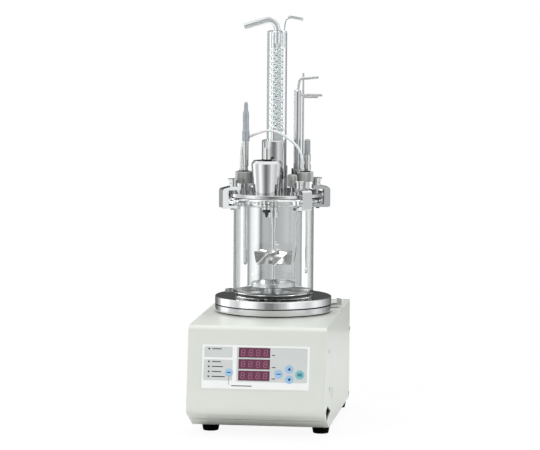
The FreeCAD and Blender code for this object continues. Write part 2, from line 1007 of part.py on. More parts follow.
keep(
    "drive_motor",
    turned(
        "drive_motor",
        [
            (0, "bridge_level - motor_height"),
            ("motor_radius", "bridge_level - motor_height"),
            ("motor_radius", "bridge_level"),
            ("motor_shaft + running_gap", "bridge_level"),
            ("motor_shaft + running_gap", "bridge_level - 40"),
            (0, "bridge_level - 40"),
        ],
        rounds=[("motor_radius", "bridge_level - motor_height", 3)],
    ),
)
keep(
    "drive_magnet",
    turned(
        "drive_magnet",
        [
            (0, "bridge_level - 39.8"),
            ("motor_shaft", "bridge_level - 39.8"),
            ("motor_shaft", "magnet_top - magnet_thick - 8"),
            (12, "magnet_top - magnet_thick - 8"),
            (12, "magnet_top - magnet_thick"),
            ("magnet_radius", "magnet_top - magnet_thick"),
            ("magnet_radius", "magnet_top"),
            (0, "magnet_top"),
        ],
        rounds=[("magnet_radius", "magnet_top", 1.5)],
    ),
)
posts = [
    rod(f"board_post_{i}", 3, "floor_top", "floor_top + 8", x, y)
    for i, (x, y) in enumerate(
        (x, f"rear_inside - {back}") for back in (91, 31) for x in (-60, 60)
    )
]
board_parts = [
    box("board_sheet", (-66, "rear_inside - 97", "floor_top + 8"), (66, "rear_inside - 25", "floor_top + 9.6")),
    box("board_transformer", (-58, "rear_inside - 79", "floor_top + 9.6"), (-18, "rear_inside - 43", "floor_top + 42")),
    box("board_heatsink", (8, "rear_inside - 85", "floor_top + 9.6"), (50, "rear_inside - 79", "floor_top + 40")),
    box("board_relay", (20, "rear_inside - 67", "floor_top + 9.6"), (38, "rear_inside - 51", "floor_top + 24")),
    rod("board_capacitor", 8, "floor_top + 9.6", "floor_top + 34", 0, "rear_inside - 53"),
]
keep("control_board", fused("control_board", *posts, *board_parts))

# ---------------------------------------------------------------- operating panel

overlay_sheet = box(
    "overlay_sheet",
    ("0 - panel_width / 2 - 1", "0 - panel_down - panel_height", 0),
    ("panel_width / 2 - 1", "0 - panel_down", "panel_thick"),
)
keep(
    "panel_overlay",
    on_panel(cut("panel_overlay", overlay_sheet, face_holes("overlay_hole", -1, 3))),
)
keep(
    "display_windows",
    on_panel(
        group(
            "display_windows",
            *[window_box(f"window_{k}", k, 0, "0 - case_wall", "panel_thick") for k in WINDOWS],
        )
    ),
)
key_floor = "0 - case_wall - key_rear_gap - key_rim_thick"
for key, (x, y, r) in KEYS.items():
    keep(
        key,
        on_panel(
            fused(
                key,
                rod(f"{key}_cap", r, key_floor, "panel_thick + key_proud - 0.6", x, y),
                rod(f"{key}_rim", f"{r} + key_rim", key_floor, "0 - case_wall - key_rear_gap", x, y),
            )
        ),
    )
panel_board = [
    box("panel_board_sheet", (-70, -80, "board_top - board_thick"), (70, -27, "board_top"))
]
for k in WINDOWS:
    panel_board.append(window_box(f"display_{k}", k, 1.2, "board_top", "0 - case_wall"))
for key, (x, y, r) in KEYS.items():
    panel_board.append(
        box(
            f"{key}_switch",
            (f"{x} - 3", f"{y} - 3", "board_top"),
            (f"{x} + 3", f"{y} + 3", f"{key_floor} - key_travel - 0.2"),
        )
    )
for i, y in enumerate(LAMPS):
    panel_board.append(rod(f"lamp_{i}", "lamp_radius", "board_top", "panel_thick", "lamp_x", y))
for i, (x, y) in enumerate(((-67, -77.5), (67, -77.5), (67, -29.5), (-45, -29.5))):
    panel_board.append(rod(f"panel_post_{i}", "post_radius", "board_top", "0 - case_wall", x, y))
keep("display_board", on_panel(fused("display_board", *panel_board)))

# ---------------------------------------------------------------- discs and rim latches

disc_ring = turned(
    "disc_ring",
    [
        (44, "case_top"),
        ("disc_radius - disc_step", "case_top"),
        ("disc_radius - disc_step", "case_top + disc_gap"),
        ("disc_radius", "case_top + disc_gap"),
        ("disc_radius", "lower_disc_top"),
        (44, "lower_disc_top"),
    ],
    rounds=[("disc_radius", "case_top + disc_gap", 0.6), ("disc_radius", "lower_disc_top", 0.6)],
)
keep(
    "heating_plate",
    turned(
        "heating_plate",
        [
            ("pocket_radius", "lower_disc_top"),
            ("disc_radius - 2", "lower_disc_top"),
            ("disc_radius - 2", "lower_disc_top + disc_groove"),
            ("disc_radius", "lower_disc_top + disc_groove"),
            ("disc_radius", "plate_top"),
            (0, "plate_top"),
            (0, "pocket_top"),
            ("pocket_radius", "pocket_top"),
        ],
        rounds=[("disc_radius", "lower_disc_top + disc_groove", 0.6), ("disc_radius", "plate_top", 1)],
    ),
)
LATCHES = {"latch_left": -1, "latch_right": 1}
pin_x = "disc_radius + latch_pin_reach"
pin_z = "case_top + disc_gap + 2"
brackets = []
for latch, sign in LATCHES.items():
    turn = "latch_angle" if sign > 0 else "180 - latch_angle"
    block = box(
        f"{latch}_block",
        ("disc_radius - 3", "0 - latch_width / 2 - 1.4", f"{pin_z} - 3.2"),
        ("disc_radius + 2.5", "latch_width / 2 + 1.4", f"{pin_z} + 3.2"),
    )
    seat = rod(f"{latch}_seat", "disc_radius - 1", "case_top", "plate_top")
    lugs = [
        box(
            f"{latch}_lug_{i}",
            ("disc_radius + 2", y, f"{pin_z} - 2.4"),
            (f"{pin_x} + 2.4", f"{y} + 1.2", f"{pin_z} + 2.4"),
        )
        for i, y in enumerate(("0 - latch_width / 2 - 1.4", "latch_width / 2 + 0.2"))
    ]
    pin = cross_rod(
        f"{latch}_pin",
        "latch_pin",
        "latch_width + 2",
        pin_x,
        "0 - latch_width / 2 - 1",
        pin_z,
        "+Y",
    )
    block_cut = cut(f"{latch}_saddle", block, seat)
    brackets.append(about_axis(fused(f"{latch}_bracket", block_cut, *lugs, pin), turn))
    # the left lever is hooked over the plate; the right one is swung out level
    reach = f"plate_top + 0.1 - ({pin_z})"
    hook = f"{pin_x} - disc_radius + 3"
    if sign < 0:
        arm = (
            (f"{pin_x} - latch_plate / 2", "0 - latch_width / 2", pin_z),
            (f"{pin_x} + latch_plate / 2", "latch_width / 2", f"{pin_z} + {reach} + latch_plate"),
        )
        tip = (
            (f"{pin_x} - ({hook})", "0 - latch_width / 2", f"{pin_z} + {reach}"),
            (pin_x, "latch_width / 2", f"{pin_z} + {reach} + latch_plate"),
        )
    else:
        arm = (
            (pin_x, "0 - latch_width / 2", f"{pin_z} - latch_plate / 2"),
            (f"{pin_x} + {reach} + latch_plate", "latch_width / 2", f"{pin_z} + latch_plate / 2"),
        )
        tip = (
            (f"{pin_x} + {reach}", "0 - latch_width / 2", pin_z),
            (f"{pin_x} + {reach} + latch_plate", "latch_width / 2", f"{pin_z} + {hook}"),
        )
    lever = fused(
        f"{latch}_lever",
        cross_rod(
            f"{latch}_barrel", 2.1, "latch_width", pin_x, "0 - latch_width / 2", pin_z, "+Y"
        ),
        box(f"{latch}_arm", *arm),
        box(f"{latch}_hook", *tip),
    )
    bore = cross_rod(
        f"{latch}_bore",
        "latch_pin + running_gap",
        "latch_width + 2",
        pin_x,
        "0 - latch_width / 2 - 1",
        pin_z,
        "+Y",
    )
    keep(latch, about_axis(cut(latch, lever, bore), turn))
keep("lower_disc", fused("lower_disc", disc_ring, *brackets))

# ---------------------------------------------------------------- jar and lid

keep(
    "vessel",
    turned(
        "vessel",
        [
            (0, "plate_top"),
            ("jar_radius", "plate_top"),
            ("jar_radius", "flange_low"),
            ("flange_radius", "flange_low"),
            ("flange_radius", "flange_top"),
            ("jar_bore", "flange_top"),
            ("jar_bore", "jar_floor"),
            (0, "jar_floor"),
        ],
        rounds=[
            ("jar_radius", "plate_top", "jar_heel_round"),
            ("jar_bore", "jar_floor", "jar_inner_round"),
            ("jar_radius", "flange_low", 2),
            ("flange_radius", "flange_low", "flange_round"),
            ("flange_radius", "flange_top", "flange_round"),
        ],
    ),
)
keep(
    "vessel_gasket",
    turned(
        "vessel_gasket",
        [
            ("jar_bore", "flange_top"),
            ("flange_radius - flange_round", "flange_top"),
            ("flange_radius - flange_round", "lid_low"),
            ("jar_bore", "lid_low"),
        ],
    ),
)

PH = ("ph_port_x", "ph_port_y")
FEED = ("feed_port_x", "feed_port_y")
SMALL = ("small_port_x", "small_port_y")
GAS = ("gas_tube_x", "gas_tube_y")
SAMPLE = ("sample_tube_x", "sample_tube_y")
SENSOR = ("sensor_x", "sensor_y")
CUP = ("cup_x", "cup_y")
CONDENSER = ("condenser_x", "condenser_y")

lid_blank = turned(
    "lid_blank",
    [
        (0, "lid_low"),
        ("lid_radius", "lid_low"),
        ("lid_radius", "lid_top"),
        (0, "lid_top"),
    ],
    rounds=[("lid_radius", "lid_low", "lid_edge"), ("lid_radius", "lid_top", "lid_edge")],
)
lid_parts = [lid_blank]
lid_cuts = []
for name, at, low, top in (
    ("ph", PH, "ph_cap_low", "ph_cap_top"),
    ("feed", FEED, "feed_cap_low", "feed_cap_top"),
):
    lid_parts += [
        rod(f"{name}_neck", "neck_radius", "lid_top - 1", f"{low} + 3", *at),
        rod(f"{name}_foot", "neck_foot", "lid_top - 1", "lid_top + 3", *at),
        rod(f"{name}_head", "neck_head", f"{low} + 2", f"{top} - 5", *at),
    ]
    lid_cuts.append(rod(f"{name}_bore", "neck_bore", "lid_low - 1", f"{top} - 4", *at))
lid_parts += [
    rod("small_neck_tube", "small_neck", "lid_top - 1", "small_cap_low + 3", *SMALL),
    rod("small_foot", 5.5, "lid_top - 1", "lid_top + 2", *SMALL),
    rod("small_head_tube", "small_head", "small_cap_low + 2", "small_cap_top - 4", *SMALL),
    rod("gas_foot", 6.6, "lid_top - 1", "lid_top + 5", *GAS),
    rod("gas_thread", 4.6, "lid_top - 1", "gas_nut_top - 4", *GAS),
    rod("sample_foot", 4, "lid_top - 1", "lid_top + 6", *SAMPLE),
    rod("sensor_foot", 4.6, "lid_top - 1", "lid_top + 4", *SENSOR),
    rod("sensor_neck", 3.3, "lid_top - 1", "lid_top + 27.6", *SENSOR),
    rod("cup_spout", "cup_boss", "lid_top - 1", "cup_boss_top", *CUP),
    rod("cup_downpipe", "cup_tube", "cup_tube_end", "lid_low + 1", *CUP),
    rod("condenser_socket", "jacket_radius + sleeve_wall + 0.1", "lid_top - 1", "sleeve_top", *CONDENSER),
]
lid_cuts += [
    rod("small_bore_hole", "small_bore", "lid_low - 1", "small_cap_top", *SMALL),
    rod("gas_hole", "dip_radius + 0.1", "lid_low - 1", "gas_nut_top", *GAS),
    rod("gas_seat", 2.6, "gas_nut_low + 1", "gas_nut_top", *GAS),
    rod("sample_hole", "sample_tube_radius + 0.05", "lid_low - 1", "lid_top + 8", *SAMPLE),
    rod("sensor_hole", "sensor_rod + 0.05", "lid_low - 1", "lid_top + 30.6", *SENSOR),
    rod("cup_bore", "plug_radius + 0.05", "cup_tube_end - 1", "lid_top + 16.1", *CUP),
    rod("cup_thread", "knob_stem + running_gap", "lid_top + 11.6", "cup_boss_top + 1", *CUP),
    rod("condenser_passage", 11, "lid_low - 1", "jacket_low + 1", *CONDENSER),
    rod("condenser_seat", "jacket_radius + 0.1", "jacket_low", "sleeve_top + 1", *CONDENSER),
    rod("bearing_hole", "4.05", "lid_low - 1", "lid_top + 1", 0, "axis_y"),
]
keep("lid_plate", cut("lid_plate", fused("lid_welded", *lid_parts), *lid_cuts))

# ---------------------------------------------------------------- lid clamps

CLAMPS = {1: -47, 2: 15, 3: -152, 4: 133}


def clamp_frame(k, thing):
    return about_axis(thing, CLAMPS[k])


clamps, rests = [], []
for k in CLAMPS:
    arm = prism(
        f"clamp_{k}_bow",
        "XZ_Plane",
        [
            ("clamp_outer", "clamp_low"),
            ("clamp_outer", "clamp_shoulder"),
            ("screw_circle + boss_radius", "clamp_shoulder + clamp_rise"),
            ("screw_circle - boss_radius", "clamp_shoulder + clamp_rise"),
            ("screw_circle - boss_radius", "clamp_arm_low"),
            ("clamp_inner", "clamp_arm_low"),
            ("clamp_inner", "clamp_low + clamp_arm"),
            ("rest_circle - 5", "clamp_low + clamp_arm"),
            ("rest_circle - 5", "clamp_low"),
        ],
        "clamp_width",
        rounds=[
            ("clamp_outer", "clamp_shoulder", "clamp_round"),
            ("clamp_outer", "clamp_low", "clamp_round - 1"),
        ],
    )
    boss = rod(f"clamp_{k}_boss", "boss_radius", "clamp_arm_low + 1", "boss_top", "screw_circle")
    thread = rod(
        f"clamp_{k}_thread",
        "clamp_thread + running_gap",
        "clamp_arm_low - 1",
        "boss_top + 1",
        "screw_circle",
    )
    rest_hole = rod(
        f"clamp_{k}_rest_hole",
        "rest_stem + 0.1",
        "clamp_low - 1",
        "clamp_low + clamp_arm + 1",
        "rest_circle",
    )
    bow = fused(f"clamp_{k}_joined", arm, boss)
    clamps.append(clamp_frame(k, cut(f"clamp_{k}", bow, thread, rest_hole)))
    rest = turned(
        f"rest_{k}",
        [
            (0, "clamp_low - rest_drop"),
            ("rest_button", "clamp_low - rest_drop"),
            ("rest_button", "clamp_low"),
            ("rest_stem", "clamp_low"),
            ("rest_stem", "clamp_low + clamp_arm"),
            ("rest_radius", "clamp_low + clamp_arm"),
            ("rest_radius", "flange_low"),
            (0, "flange_low"),
        ],
        "rest_circle",
        0,
    )
    rests.append(clamp_frame(k, group(f"rest_{k}_turned", rest)))
    pad = turned(
        f"pad_{k}",
        [
            (0, "lid_top + 0.1"),
            ("pad_radius", "lid_top + 0.1"),
            ("pad_radius", "pad_top"),
            ("1.5 + running_gap", "pad_top"),
            ("1.5 + running_gap", "pad_top - 1.1"),
            (0, "pad_top - 1.1"),
        ],
        "screw_circle",
        0,
    )
    keep(f"clamp_pad_{k}", clamp_frame(k, group(f"clamp_pad_{k}", pad)))
    screw = turned(
        f"screw_{k}",
        [
            (0, "pad_top - 1"),
            (1.5, "pad_top - 1"),
            (1.5, "pad_top + 0.1"),
            ("clamp_thread", "pad_top + 0.1"),
            ("clamp_thread", "knob_low"),
            ("knob_radius", "knob_low"),
            ("knob_radius", "knob_top - knob_rim_thick"),
            ("knob_rim", "knob_top - knob_rim_thick"),
            ("knob_rim", "knob_top"),
            (0, "knob_top"),
        ],
        "screw_circle",
        0,
        rounds=[("knob_rim", "knob_top", 0.5), ("knob_rim", "knob_top - knob_rim_thick", 0.5)],
    )
    keep(f"clamp_screw_{k}", clamp_frame(k, group(f"clamp_screw_{k}", screw)))
keep("lid_clamps", group("lid_clamps", *clamps))
keep("clamp_rests", group("clamp_rests", *rests))

# ---------------------------------------------------------------- stirrer

keep(
    "stirrer_bearing",
    turned(
        "stirrer_bearing",
        [
            ("shaft_radius + running_gap", "bearing_end"),
            ("bearing_sleeve", "bearing_end"),
            ("bearing_sleeve", "bearing_flange_level"),
            ("bearing_flange", "bearing_flange_level"),
            ("bearing_flange", "bearing_flange_level + bearing_flange_thick"),
            ("bearing_neck", "bearing_flange_level + bearing_flange_thick"),
            ("bearing_neck", "lid_low"),
            (4, "lid_low"),
            (4, "lid_top + 3"),
            (0, "lid_top + 3"),
            (0, "shaft_head + 0.5"),
            (3.6, "shaft_head + 0.5"),
            (3.6, "shaft_head - 7"),
            ("shaft_radius + running_gap", "shaft_head - 7"),
        ],
    ),
)
keep(
    "stirrer_shaft",
    turned(
        "stirrer_shaft",
        [
            (0, "rotor_low + 0.5"),
            ("shaft_radius", "rotor_low + 0.5"),
            ("shaft_radius", "shaft_head - 6.9"),
            (3.2, "shaft_head - 6.9"),
            (3.2, "shaft_head"),
            (0, "shaft_head"),
        ],
    ),
)
keep(
    "stirrer_magnet",
    turned(
        "stirrer_magnet",
        [
            ("shaft_radius + 0.05", "rotor_low"),
            ("rotor_hub", "rotor_low"),
            ("rotor_hub", "rotor_hub_top"),
            ("rotor_dish", "rotor_hub_top"),
            ("rotor_dish", "rotor_dish_top + rotor_rim_height"),
            ("rotor_dish - rotor_rim", "rotor_dish_top + rotor_rim_height"),
            ("rotor_dish - rotor_rim", "rotor_dish_top"),
            ("shaft_radius + 0.05", "rotor_dish_top"),
        ],
        rounds=[("rotor_dish", "rotor_hub_top", 1)],
    ),
)
blades = [
    rod(
        "impeller_hub_rod",
        "impeller_hub",
        "impeller_level",
        "impeller_level + impeller_height",
        0,
        0,
    )
]
chord = "(impeller_height - blade_thick * cos(blade_pitch * 1deg)) / sin(blade_pitch * 1deg)"
for i in range(SIZES["blade_count"]):
    blank = doc.addObject("Part::Box", f"blade_{i}_blank")
    bind(blank, Length="impeller_tip - 4", Width=chord, Height="blade_thick")
    place(blank, 4, f"0 - ({chord}) / 2", "0 - blade_thick / 2")
    pitched = place(group(f"blade_{i}_pitched", blank), 0, 0, 0, (1, 0, 0), "blade_pitch")
    turned_blade = group(f"blade_{i}", pitched)
    place(
        turned_blade,
        0,
        0,
        "impeller_level + impeller_height / 2",
        (0, 0, 1),
        f"{i} * 360 / blade_count",
    )
    blades.append(turned_blade)
impeller_bore = rod(
    "impeller_bore",
    "shaft_radius + 0.05",
    "impeller_level - 1",
    "impeller_level + impeller_height + 1",
)
keep(
    "impeller",
    place(cut("impeller", fused("impeller_blank", *blades), impeller_bore), 0, "axis_y", 0),
)

# ---------------------------------------------------------------- bell and cup on the lid

keep(
    "centre_bell",
    turned(
        "centre_bell",
        [
            ("bell_radius - bell_wall", "lid_top"),
            ("bell_radius", "lid_top"),
            ("bell_radius", "bell_top"),
            (0, "bell_top"),
            (0, "bell_top - bell_wall"),
            ("bell_radius - bell_wall", "bell_top - bell_wall"),
        ],
        rounds=[("bell_radius", "bell_top", "bell_round")],
    ),
)
keep(
    "inoculation_cup",
    turned(
        "inoculation_cup",
        [
            ("cup_base - cup_wall", "lid_top"),
            ("cup_base", "lid_top"),
            ("cup_shoulder", "cup_top - 4"),
            ("cup_shoulder - 3", "cup_top"),
            ("knob_stem + 0.3", "cup_top"),
            ("knob_stem + 0.3", "cup_top - cup_wall"),
            ("cup_shoulder - 4", "cup_top - cup_wall"),
            ("cup_shoulder - cup_wall", "cup_top - 5"),
        ],
        *CUP,
        rounds=[("cup_shoulder", "cup_top - 4", "cup_round")],
    ),
)
keep(
    "cup_washer",
    turned(
        "cup_washer",
        [
            ("knob_stem + 0.3", "cup_top"),
            ("knob_washer", "cup_top"),
            ("knob_washer", "cup_top + 1.6"),
            ("knob_stem + 0.3", "cup_top + 1.6"),
        ],
        *CUP,
    ),
)
keep(
    "cup_knob",
    turned(
        "cup_knob",
        [
            (0, "lid_top + 18.6"),
            ("knob_stem", "lid_top + 18.6"),
            ("knob_stem", "cup_top + 1.7"),
            ("cup_knob_radius", "cup_top + 1.7"),
            ("cup_knob_radius", "cup_knob_top"),
            (1.1, "cup_knob_top"),
            (1.1, "cup_knob_top + 8"),
            (0, "cup_knob_top + 8"),
        ],
        *CUP,
        rounds=[("cup_knob_radius", "cup_knob_top", 1)],
    ),
)
keep(
    "cup_plug",
    turned(
        "cup_plug",
        [
            (0, "plug_end - 7"),
            (1.2, "plug_end - 7"),
            (3, "plug_end"),
            ("plug_radius", "plug_end"),
            ("plug_radius", "lid_top + 15.6"),
            (0, "lid_top + 15.6"),
        ],
        *CUP,
    ),
)

# ---------------------------------------------------------------- ports

for name, at, low, top in (
    ("left_port_cap", PH, "ph_cap_low", "ph_cap_top"),
    ("right_port_cap", FEED, "feed_cap_low", "feed_cap_top"),
):
    keep(
        name,
        turned(
            name,
            [
                ("neck_head + cap_clearance", low),
                ("cap_radius", low),
                ("cap_radius", top),
                ("seal_radius + 0.3", top),
                ("seal_radius + 0.3", f"{top} - 2.5"),
                ("neck_head + cap_clearance", f"{top} - 2.5"),
            ],
            *at,
            rounds=[("cap_radius", low, 0.8), ("cap_radius", top, 0.8)],
        ),
    )
keep(
    "small_port_cap",
    turned(
        "small_port_cap",
        [
            ("small_head + cap_clearance", "small_cap_low"),
            ("small_cap_radius", "small_cap_low"),
            ("small_cap_radius", "small_cap_top"),
            (0, "small_cap_top"),
            (0, "small_cap_top - 3.8"),
            ("small_head + cap_clearance", "small_cap_top - 3.8"),
        ],
        *SMALL,
        rounds=[("small_cap_radius", "small_cap_top", 2.5), ("small_cap_radius", "small_cap_low", 0.6)],
    ),
)
seals = []
for name, at, top, holes in (
    (
        "ph",
        PH,
        "ph_cap_top",
        (("electrode_shift", 0, "electrode_rod"), ("barb_shift_x", "barb_shift_y", "barb_stem")),
    ),
    ("feed", FEED, "feed_cap_top", (("feed_barb_shift", 0, "barb_stem"),)),
):
    blank = turned(
        f"{name}_seal_blank",
        [
            (0, f"{top} - 9"),
            ("neck_bore - 0.1", f"{top} - 9"),
            ("neck_bore - 0.1", f"{top} - 5"),
            ("neck_head - 0.2", f"{top} - 5"),
            ("neck_head - 0.2", f"{top} - 2.6"),
            ("seal_radius", f"{top} - 2.6"),
            ("seal_radius", f"{top} + seal_proud"),
            (0, f"{top} + seal_proud"),
        ],
        *at,
        rounds=[("seal_radius", f"{top} + seal_proud", 0.4)],
    )
    bores = [
        rod(
            f"{name}_seal_bore_{i}",
            f"{r} + 0.05",
            f"{top} - 12",
            f"{top} + 5",
            f"{at[0]} + {dx}",
            f"{at[1]} + {dy}",
        )
        for i, (dx, dy, r) in enumerate(holes)
    ]
    seals.append(cut(f"{name}_seal", blank, *bores))
keep("port_seals", group("port_seals", *seals))

# ---------------------------------------------------------------- probes and tubes

electrode_at = ("ph_port_x + electrode_shift", "ph_port_y")
keep(
    "ph_electrode",
    turned(
        "ph_electrode",
        [
            (0, "electrode_tip"),
            ("electrode_rod", "electrode_tip + 3"),
            ("electrode_rod", "ph_cap_top + 7"),
            ("electrode_sleeve", "ph_cap_top + 7.5"),
            ("electrode_sleeve", "ph_cap_top + 42"),
            (2.4, "ph_cap_top + 42"),
            (2.4, "ph_cap_top + 48"),
            (0, "ph_cap_top + 48"),
        ],
        *electrode_at,
    ),
)
keep(
    "electrode_head",
    turned(
        "electrode_head",
        [
            ("2.4 + 0.05", "ph_cap_top + 42"),
            ("electrode_collar", "ph_cap_top + 42"),
            ("electrode_collar", "ph_cap_top + 57"),
            ("electrode_grip", "ph_cap_top + 57"),
            ("electrode_grip", "ph_cap_top + 80"),
            (2.9, "ph_cap_top + 86"),
            (2.4, "ph_cap_top + 97"),
            (0, "ph_cap_top + 97"),
            (0, "ph_cap_top + 48.2"),
            ("2.4 + 0.05", "ph_cap_top + 48.2"),
        ],
        *electrode_at,
        rounds=[(2.4, "ph_cap_top + 97", 1.2)],
    ),
)
barb_spots = {
    "left": ("ph_port_x + barb_shift_x", "ph_port_y + barb_shift_y", "ph_cap_top + seal_proud"),
    "right": ("feed_port_x + feed_barb_shift", "feed_port_y", "feed_cap_top + seal_proud"),
}
barbs = [
    turned(
        f"barb_{name}",
        [
            (0.6, f"{z} - 26"),
            ("barb_stem", f"{z} - 26"),
            ("barb_stem", z),
            ("barb_radius", z),
            ("barb_radius", f"{z} + barb_collar - 1"),
            ("barb_radius - 0.6", f"{z} + barb_collar"),
            ("hose_bore - 0.05", f"{z} + barb_collar"),
            ("hose_bore - 0.05", f"{z} + barb_collar + barb_spigot"),
            (0.6, f"{z} + barb_collar + barb_spigot"),
        ],
        x,
        y,
    )
    for name, (x, y, z) in barb_spots.items()
]
keep("hose_barbs", group("hose_barbs", *barbs))

gas_parts = [
    rod("gas_column", "gas_tube_radius", "gas_nut_top - 1", "gas_tube_top - 3", *GAS),
    rod("gas_nose", 2.4, "gas_nut_low + 1.2", "gas_nut_top", *GAS),
]
dome = turned(
    "gas_dome",
    [
        (0, "gas_tube_top - 4"),
        ("gas_tube_radius", "gas_tube_top - 4"),
        ("gas_tube_radius", "gas_tube_top - 2.4"),
        (2, "gas_tube_top"),
        (0, "gas_tube_top"),
    ],
    *GAS,
)
gas_x, gas_y = number(GAS[0]), number(GAS[1])
gas_top = number("gas_tube_top")
nipple = number("nipple_radius")
dip_end = number("dip_end")


def at_gas(dx, dy, z):
    return V(gas_x + dx, gas_y + dy, z)


upper_arm, _, _ = bent_tube(
    [at_gas(0, 0, gas_top - 3), at_gas(2.6, 0.3, gas_top + 14.6), at_gas(29, 0.3, gas_top + 17.0)],
    nipple,
    limit=5,
)
lower_arm, _, _ = bent_tube(
    [at_gas(0, 0, gas_top - 8.4), at_gas(14, 3.2, gas_top - 8.0), at_gas(34, 3.2, gas_top - 8.0)],
    nipple,
    limit=12,
)
dip_pipe, _, _ = bent_tube(
    [
        at_gas(0, 0, number("gas_nut_low + 2")),
        at_gas(0, 0, dip_end + 38.4),
        at_gas(-2.2, 0, dip_end + 26.4),
        at_gas(-2.2, 0, dip_end),
    ],
    number("dip_radius"),
    limit=10,
)
arms = [
    shaped("gas_upper_arm", upper_arm),
    shaped("gas_lower_arm", lower_arm),
    shaped("gas_dip_pipe", dip_pipe),
]
keep("gas_tube", fused("gas_tube", *gas_parts, dome, *arms))

nut_blank = doc.addObject("Part::Prism", "gas_nut_blank")
nut_blank.Polygon = 6
bind(nut_blank, Circumradius="gas_nut_flats / sqrt(3)", Height="gas_nut_top - gas_nut_low")
place(nut_blank, *GAS, "gas_nut_low")
nut_hollow = rod("gas_nut_hollow", "4.6 + 0.05", "gas_nut_low - 1", "gas_nut_top - 3", *GAS)
nut_hole = rod("gas_nut_hole", "gas_tube_radius + 0.3", "gas_nut_low", "gas_nut_top + 1", *GAS)
keep("gas_tube_nut", cut("gas_tube_nut", nut_blank, nut_hollow, nut_hole))

sample_x, sample_y = number(SAMPLE[0]), number(SAMPLE[1])
sample_top = number("sample_tube_top")
sample_arm, _, _ = bent_tube(
    [
        V(sample_x, sample_y, sample_top - 33.4),
        V(sample_x + 9, sample_y, sample_top - 33.6),
        V(sample_x + 20.5, sample_y, sample_top - 33.4),
    ],
    number("sample_arm_radius"),
    limit=40,
)
sample_parts = [
    rod("sample_stem", "sample_tube_radius", "lid_low - 7.3", "sample_tube_top", *SAMPLE),
    rod("sample_collar", 2.6, "lid_top + 6", "lid_top + 12", *SAMPLE),
    shaped("sample_arm", sample_arm),
]
keep("sampling_tube", fused("sampling_tube", *sample_parts))

keep(
    "temperature_probe",
    turned(
        "temperature_probe",
        [
            (0, "sensor_tip"),
            (1.4, "sensor_tip"),
            (2.4, "sensor_tip + 1.5"),
            (2.4, "sensor_tip + 6"),
            ("sensor_rod", "sensor_tip + 7"),
            ("sensor_rod", "lid_top + 27.6"),
            (3.3, "lid_top + 27.6"),
            (3.3, "lid_top + 29.6"),
            ("sensor_body", "lid_top + 29.6"),
            ("sensor_body", "lid_top + 37.6"),
            (4.2, "lid_top + 37.6"),
            (4.2, "lid_top + 42.6"),
            (4.9, "lid_top + 42.6"),
            (4.9, "lid_top + 51.6"),
            (2, "lid_top + 51.6"),
            (2, "lid_top + 61.6"),
            (0, "lid_top + 61.6"),
        ],
        *SENSOR,
    ),
)
keep(
    "probe_boot",
    turned(
        "probe_boot",
        [
            (2.05, "lid_top + 51.6"),
            ("boot_radius", "lid_top + 51.6"),
            ("boot_radius", "lid_top + 71.1"),
            (3, "lid_top + 73.6"),
            (0, "lid_top + 73.6"),
            (0, "lid_top + 61.8"),
            (2.05, "lid_top + 61.8"),
        ],
        *SENSOR,
        rounds=[(3, "lid_top + 73.6", 0.8)],
    ),
)

# the hose runs from the left port's barb up over the bell and down to the right port's barb
left_x, left_y, left_z = (number(text) for text in barb_spots["left"])
right_x, right_y, right_z = (number(text) for text in barb_spots["right"])
over = number("axis_y")
hose_points = [
    V(left_x, left_y, left_z + number("barb_collar")),
    V(left_x, left_y, left_z + number("barb_collar") + 15),
    V(-44.6, over - 0.5, 390.5),
    V(-25, over + 4, 399.5),
    V(-8, over + 4, 404.8),
    V(8, over + 2.5, 400.4),
    V(23.5, over, 391),
    V(36, over - 6, 379.5),
    V(right_x, right_y, right_z + number("barb_collar") + 13),
    V(right_x, right_y, right_z + number("barb_collar")),
]
hose, hose_length, hose_radii = bent_tube(hose_points, number("hose_radius"), number("hose_bore"))
print("hose length", round(hose_length, 1), "bends", [round(r, 1) for r in hose_radii])
keep("silicone_hose", shaped("silicone_hose", hose))

# ---------------------------------------------------------------- glass condenser

con_x, con_y = number(CONDENSER[0]), number(CONDENSER[1])
con_top = number("jacket_top")
coil_r, coil_t = number("coil_radius"), number("coil_tube")
coil_low = number("coil_low")
pitch = number("coil_pitch")
turns = int(SIZES["coil_turns"])
coil_top = coil_low + pitch * turns


def at_condenser(dx, z, dy=0):
    return V(con_x + dx, con_y + dy, z)


coil_edges = []
for k in range(2 * turns):
    side = 1 if k % 2 == 0 else -1
    low, high = coil_low + k * pitch / 2, coil_low + (k + 1) * pitch / 2
    coil_edges.append(
        Part.Arc(
            at_condenser(side * coil_r, low),
            at_condenser(0, (low + high) / 2, side * coil_r),
            at_condenser(-side * coil_r, high),
        ).toShape()
    )
coil_wire = Part.Wire(coil_edges)
start = at_condenser(coil_r, coil_low)
heading = coil_edges[0].tangentAt(coil_edges[0].FirstParameter)
out = V(1, 0, 0)
up = heading.cross(out)
ring = [
    start + (out * math.cos(a) + up * math.sin(a)) * coil_t
    for a in (math.radians(60 * i) for i in range(6))
]
coil = coil_wire.makePipeShell([Part.makePolygon(ring + ring[:1])], True, False)
inlet_arm, _, _ = bent_tube(
    [
        at_condenser(coil_r, coil_top - 1),
        at_condenser(coil_r + 0.3, con_top - 4),
        at_condenser(coil_r + 4.5, con_top + 20.6),
        at_condenser(coil_r + 28.2, con_top + 16.1),
    ],
    number("inlet_radius"),
    number("inlet_radius - glass_tube_wall"),
    limit=8,
)
inlet_foot = Part.makeSphere(number("inlet_radius"), at_condenser(coil_r, coil_top - 1))
vent_arm, _, _ = bent_tube(
    [at_condenser(0, con_top - 18), at_condenser(0, con_top + 19), at_condenser(-46, con_top + 5.15)],
    number("vent_radius"),
    number("vent_radius - glass_tube_wall"),
    limit=9,
)
vent_foot = Part.makeSphere(number("vent_radius"), at_condenser(0, con_top - 18))
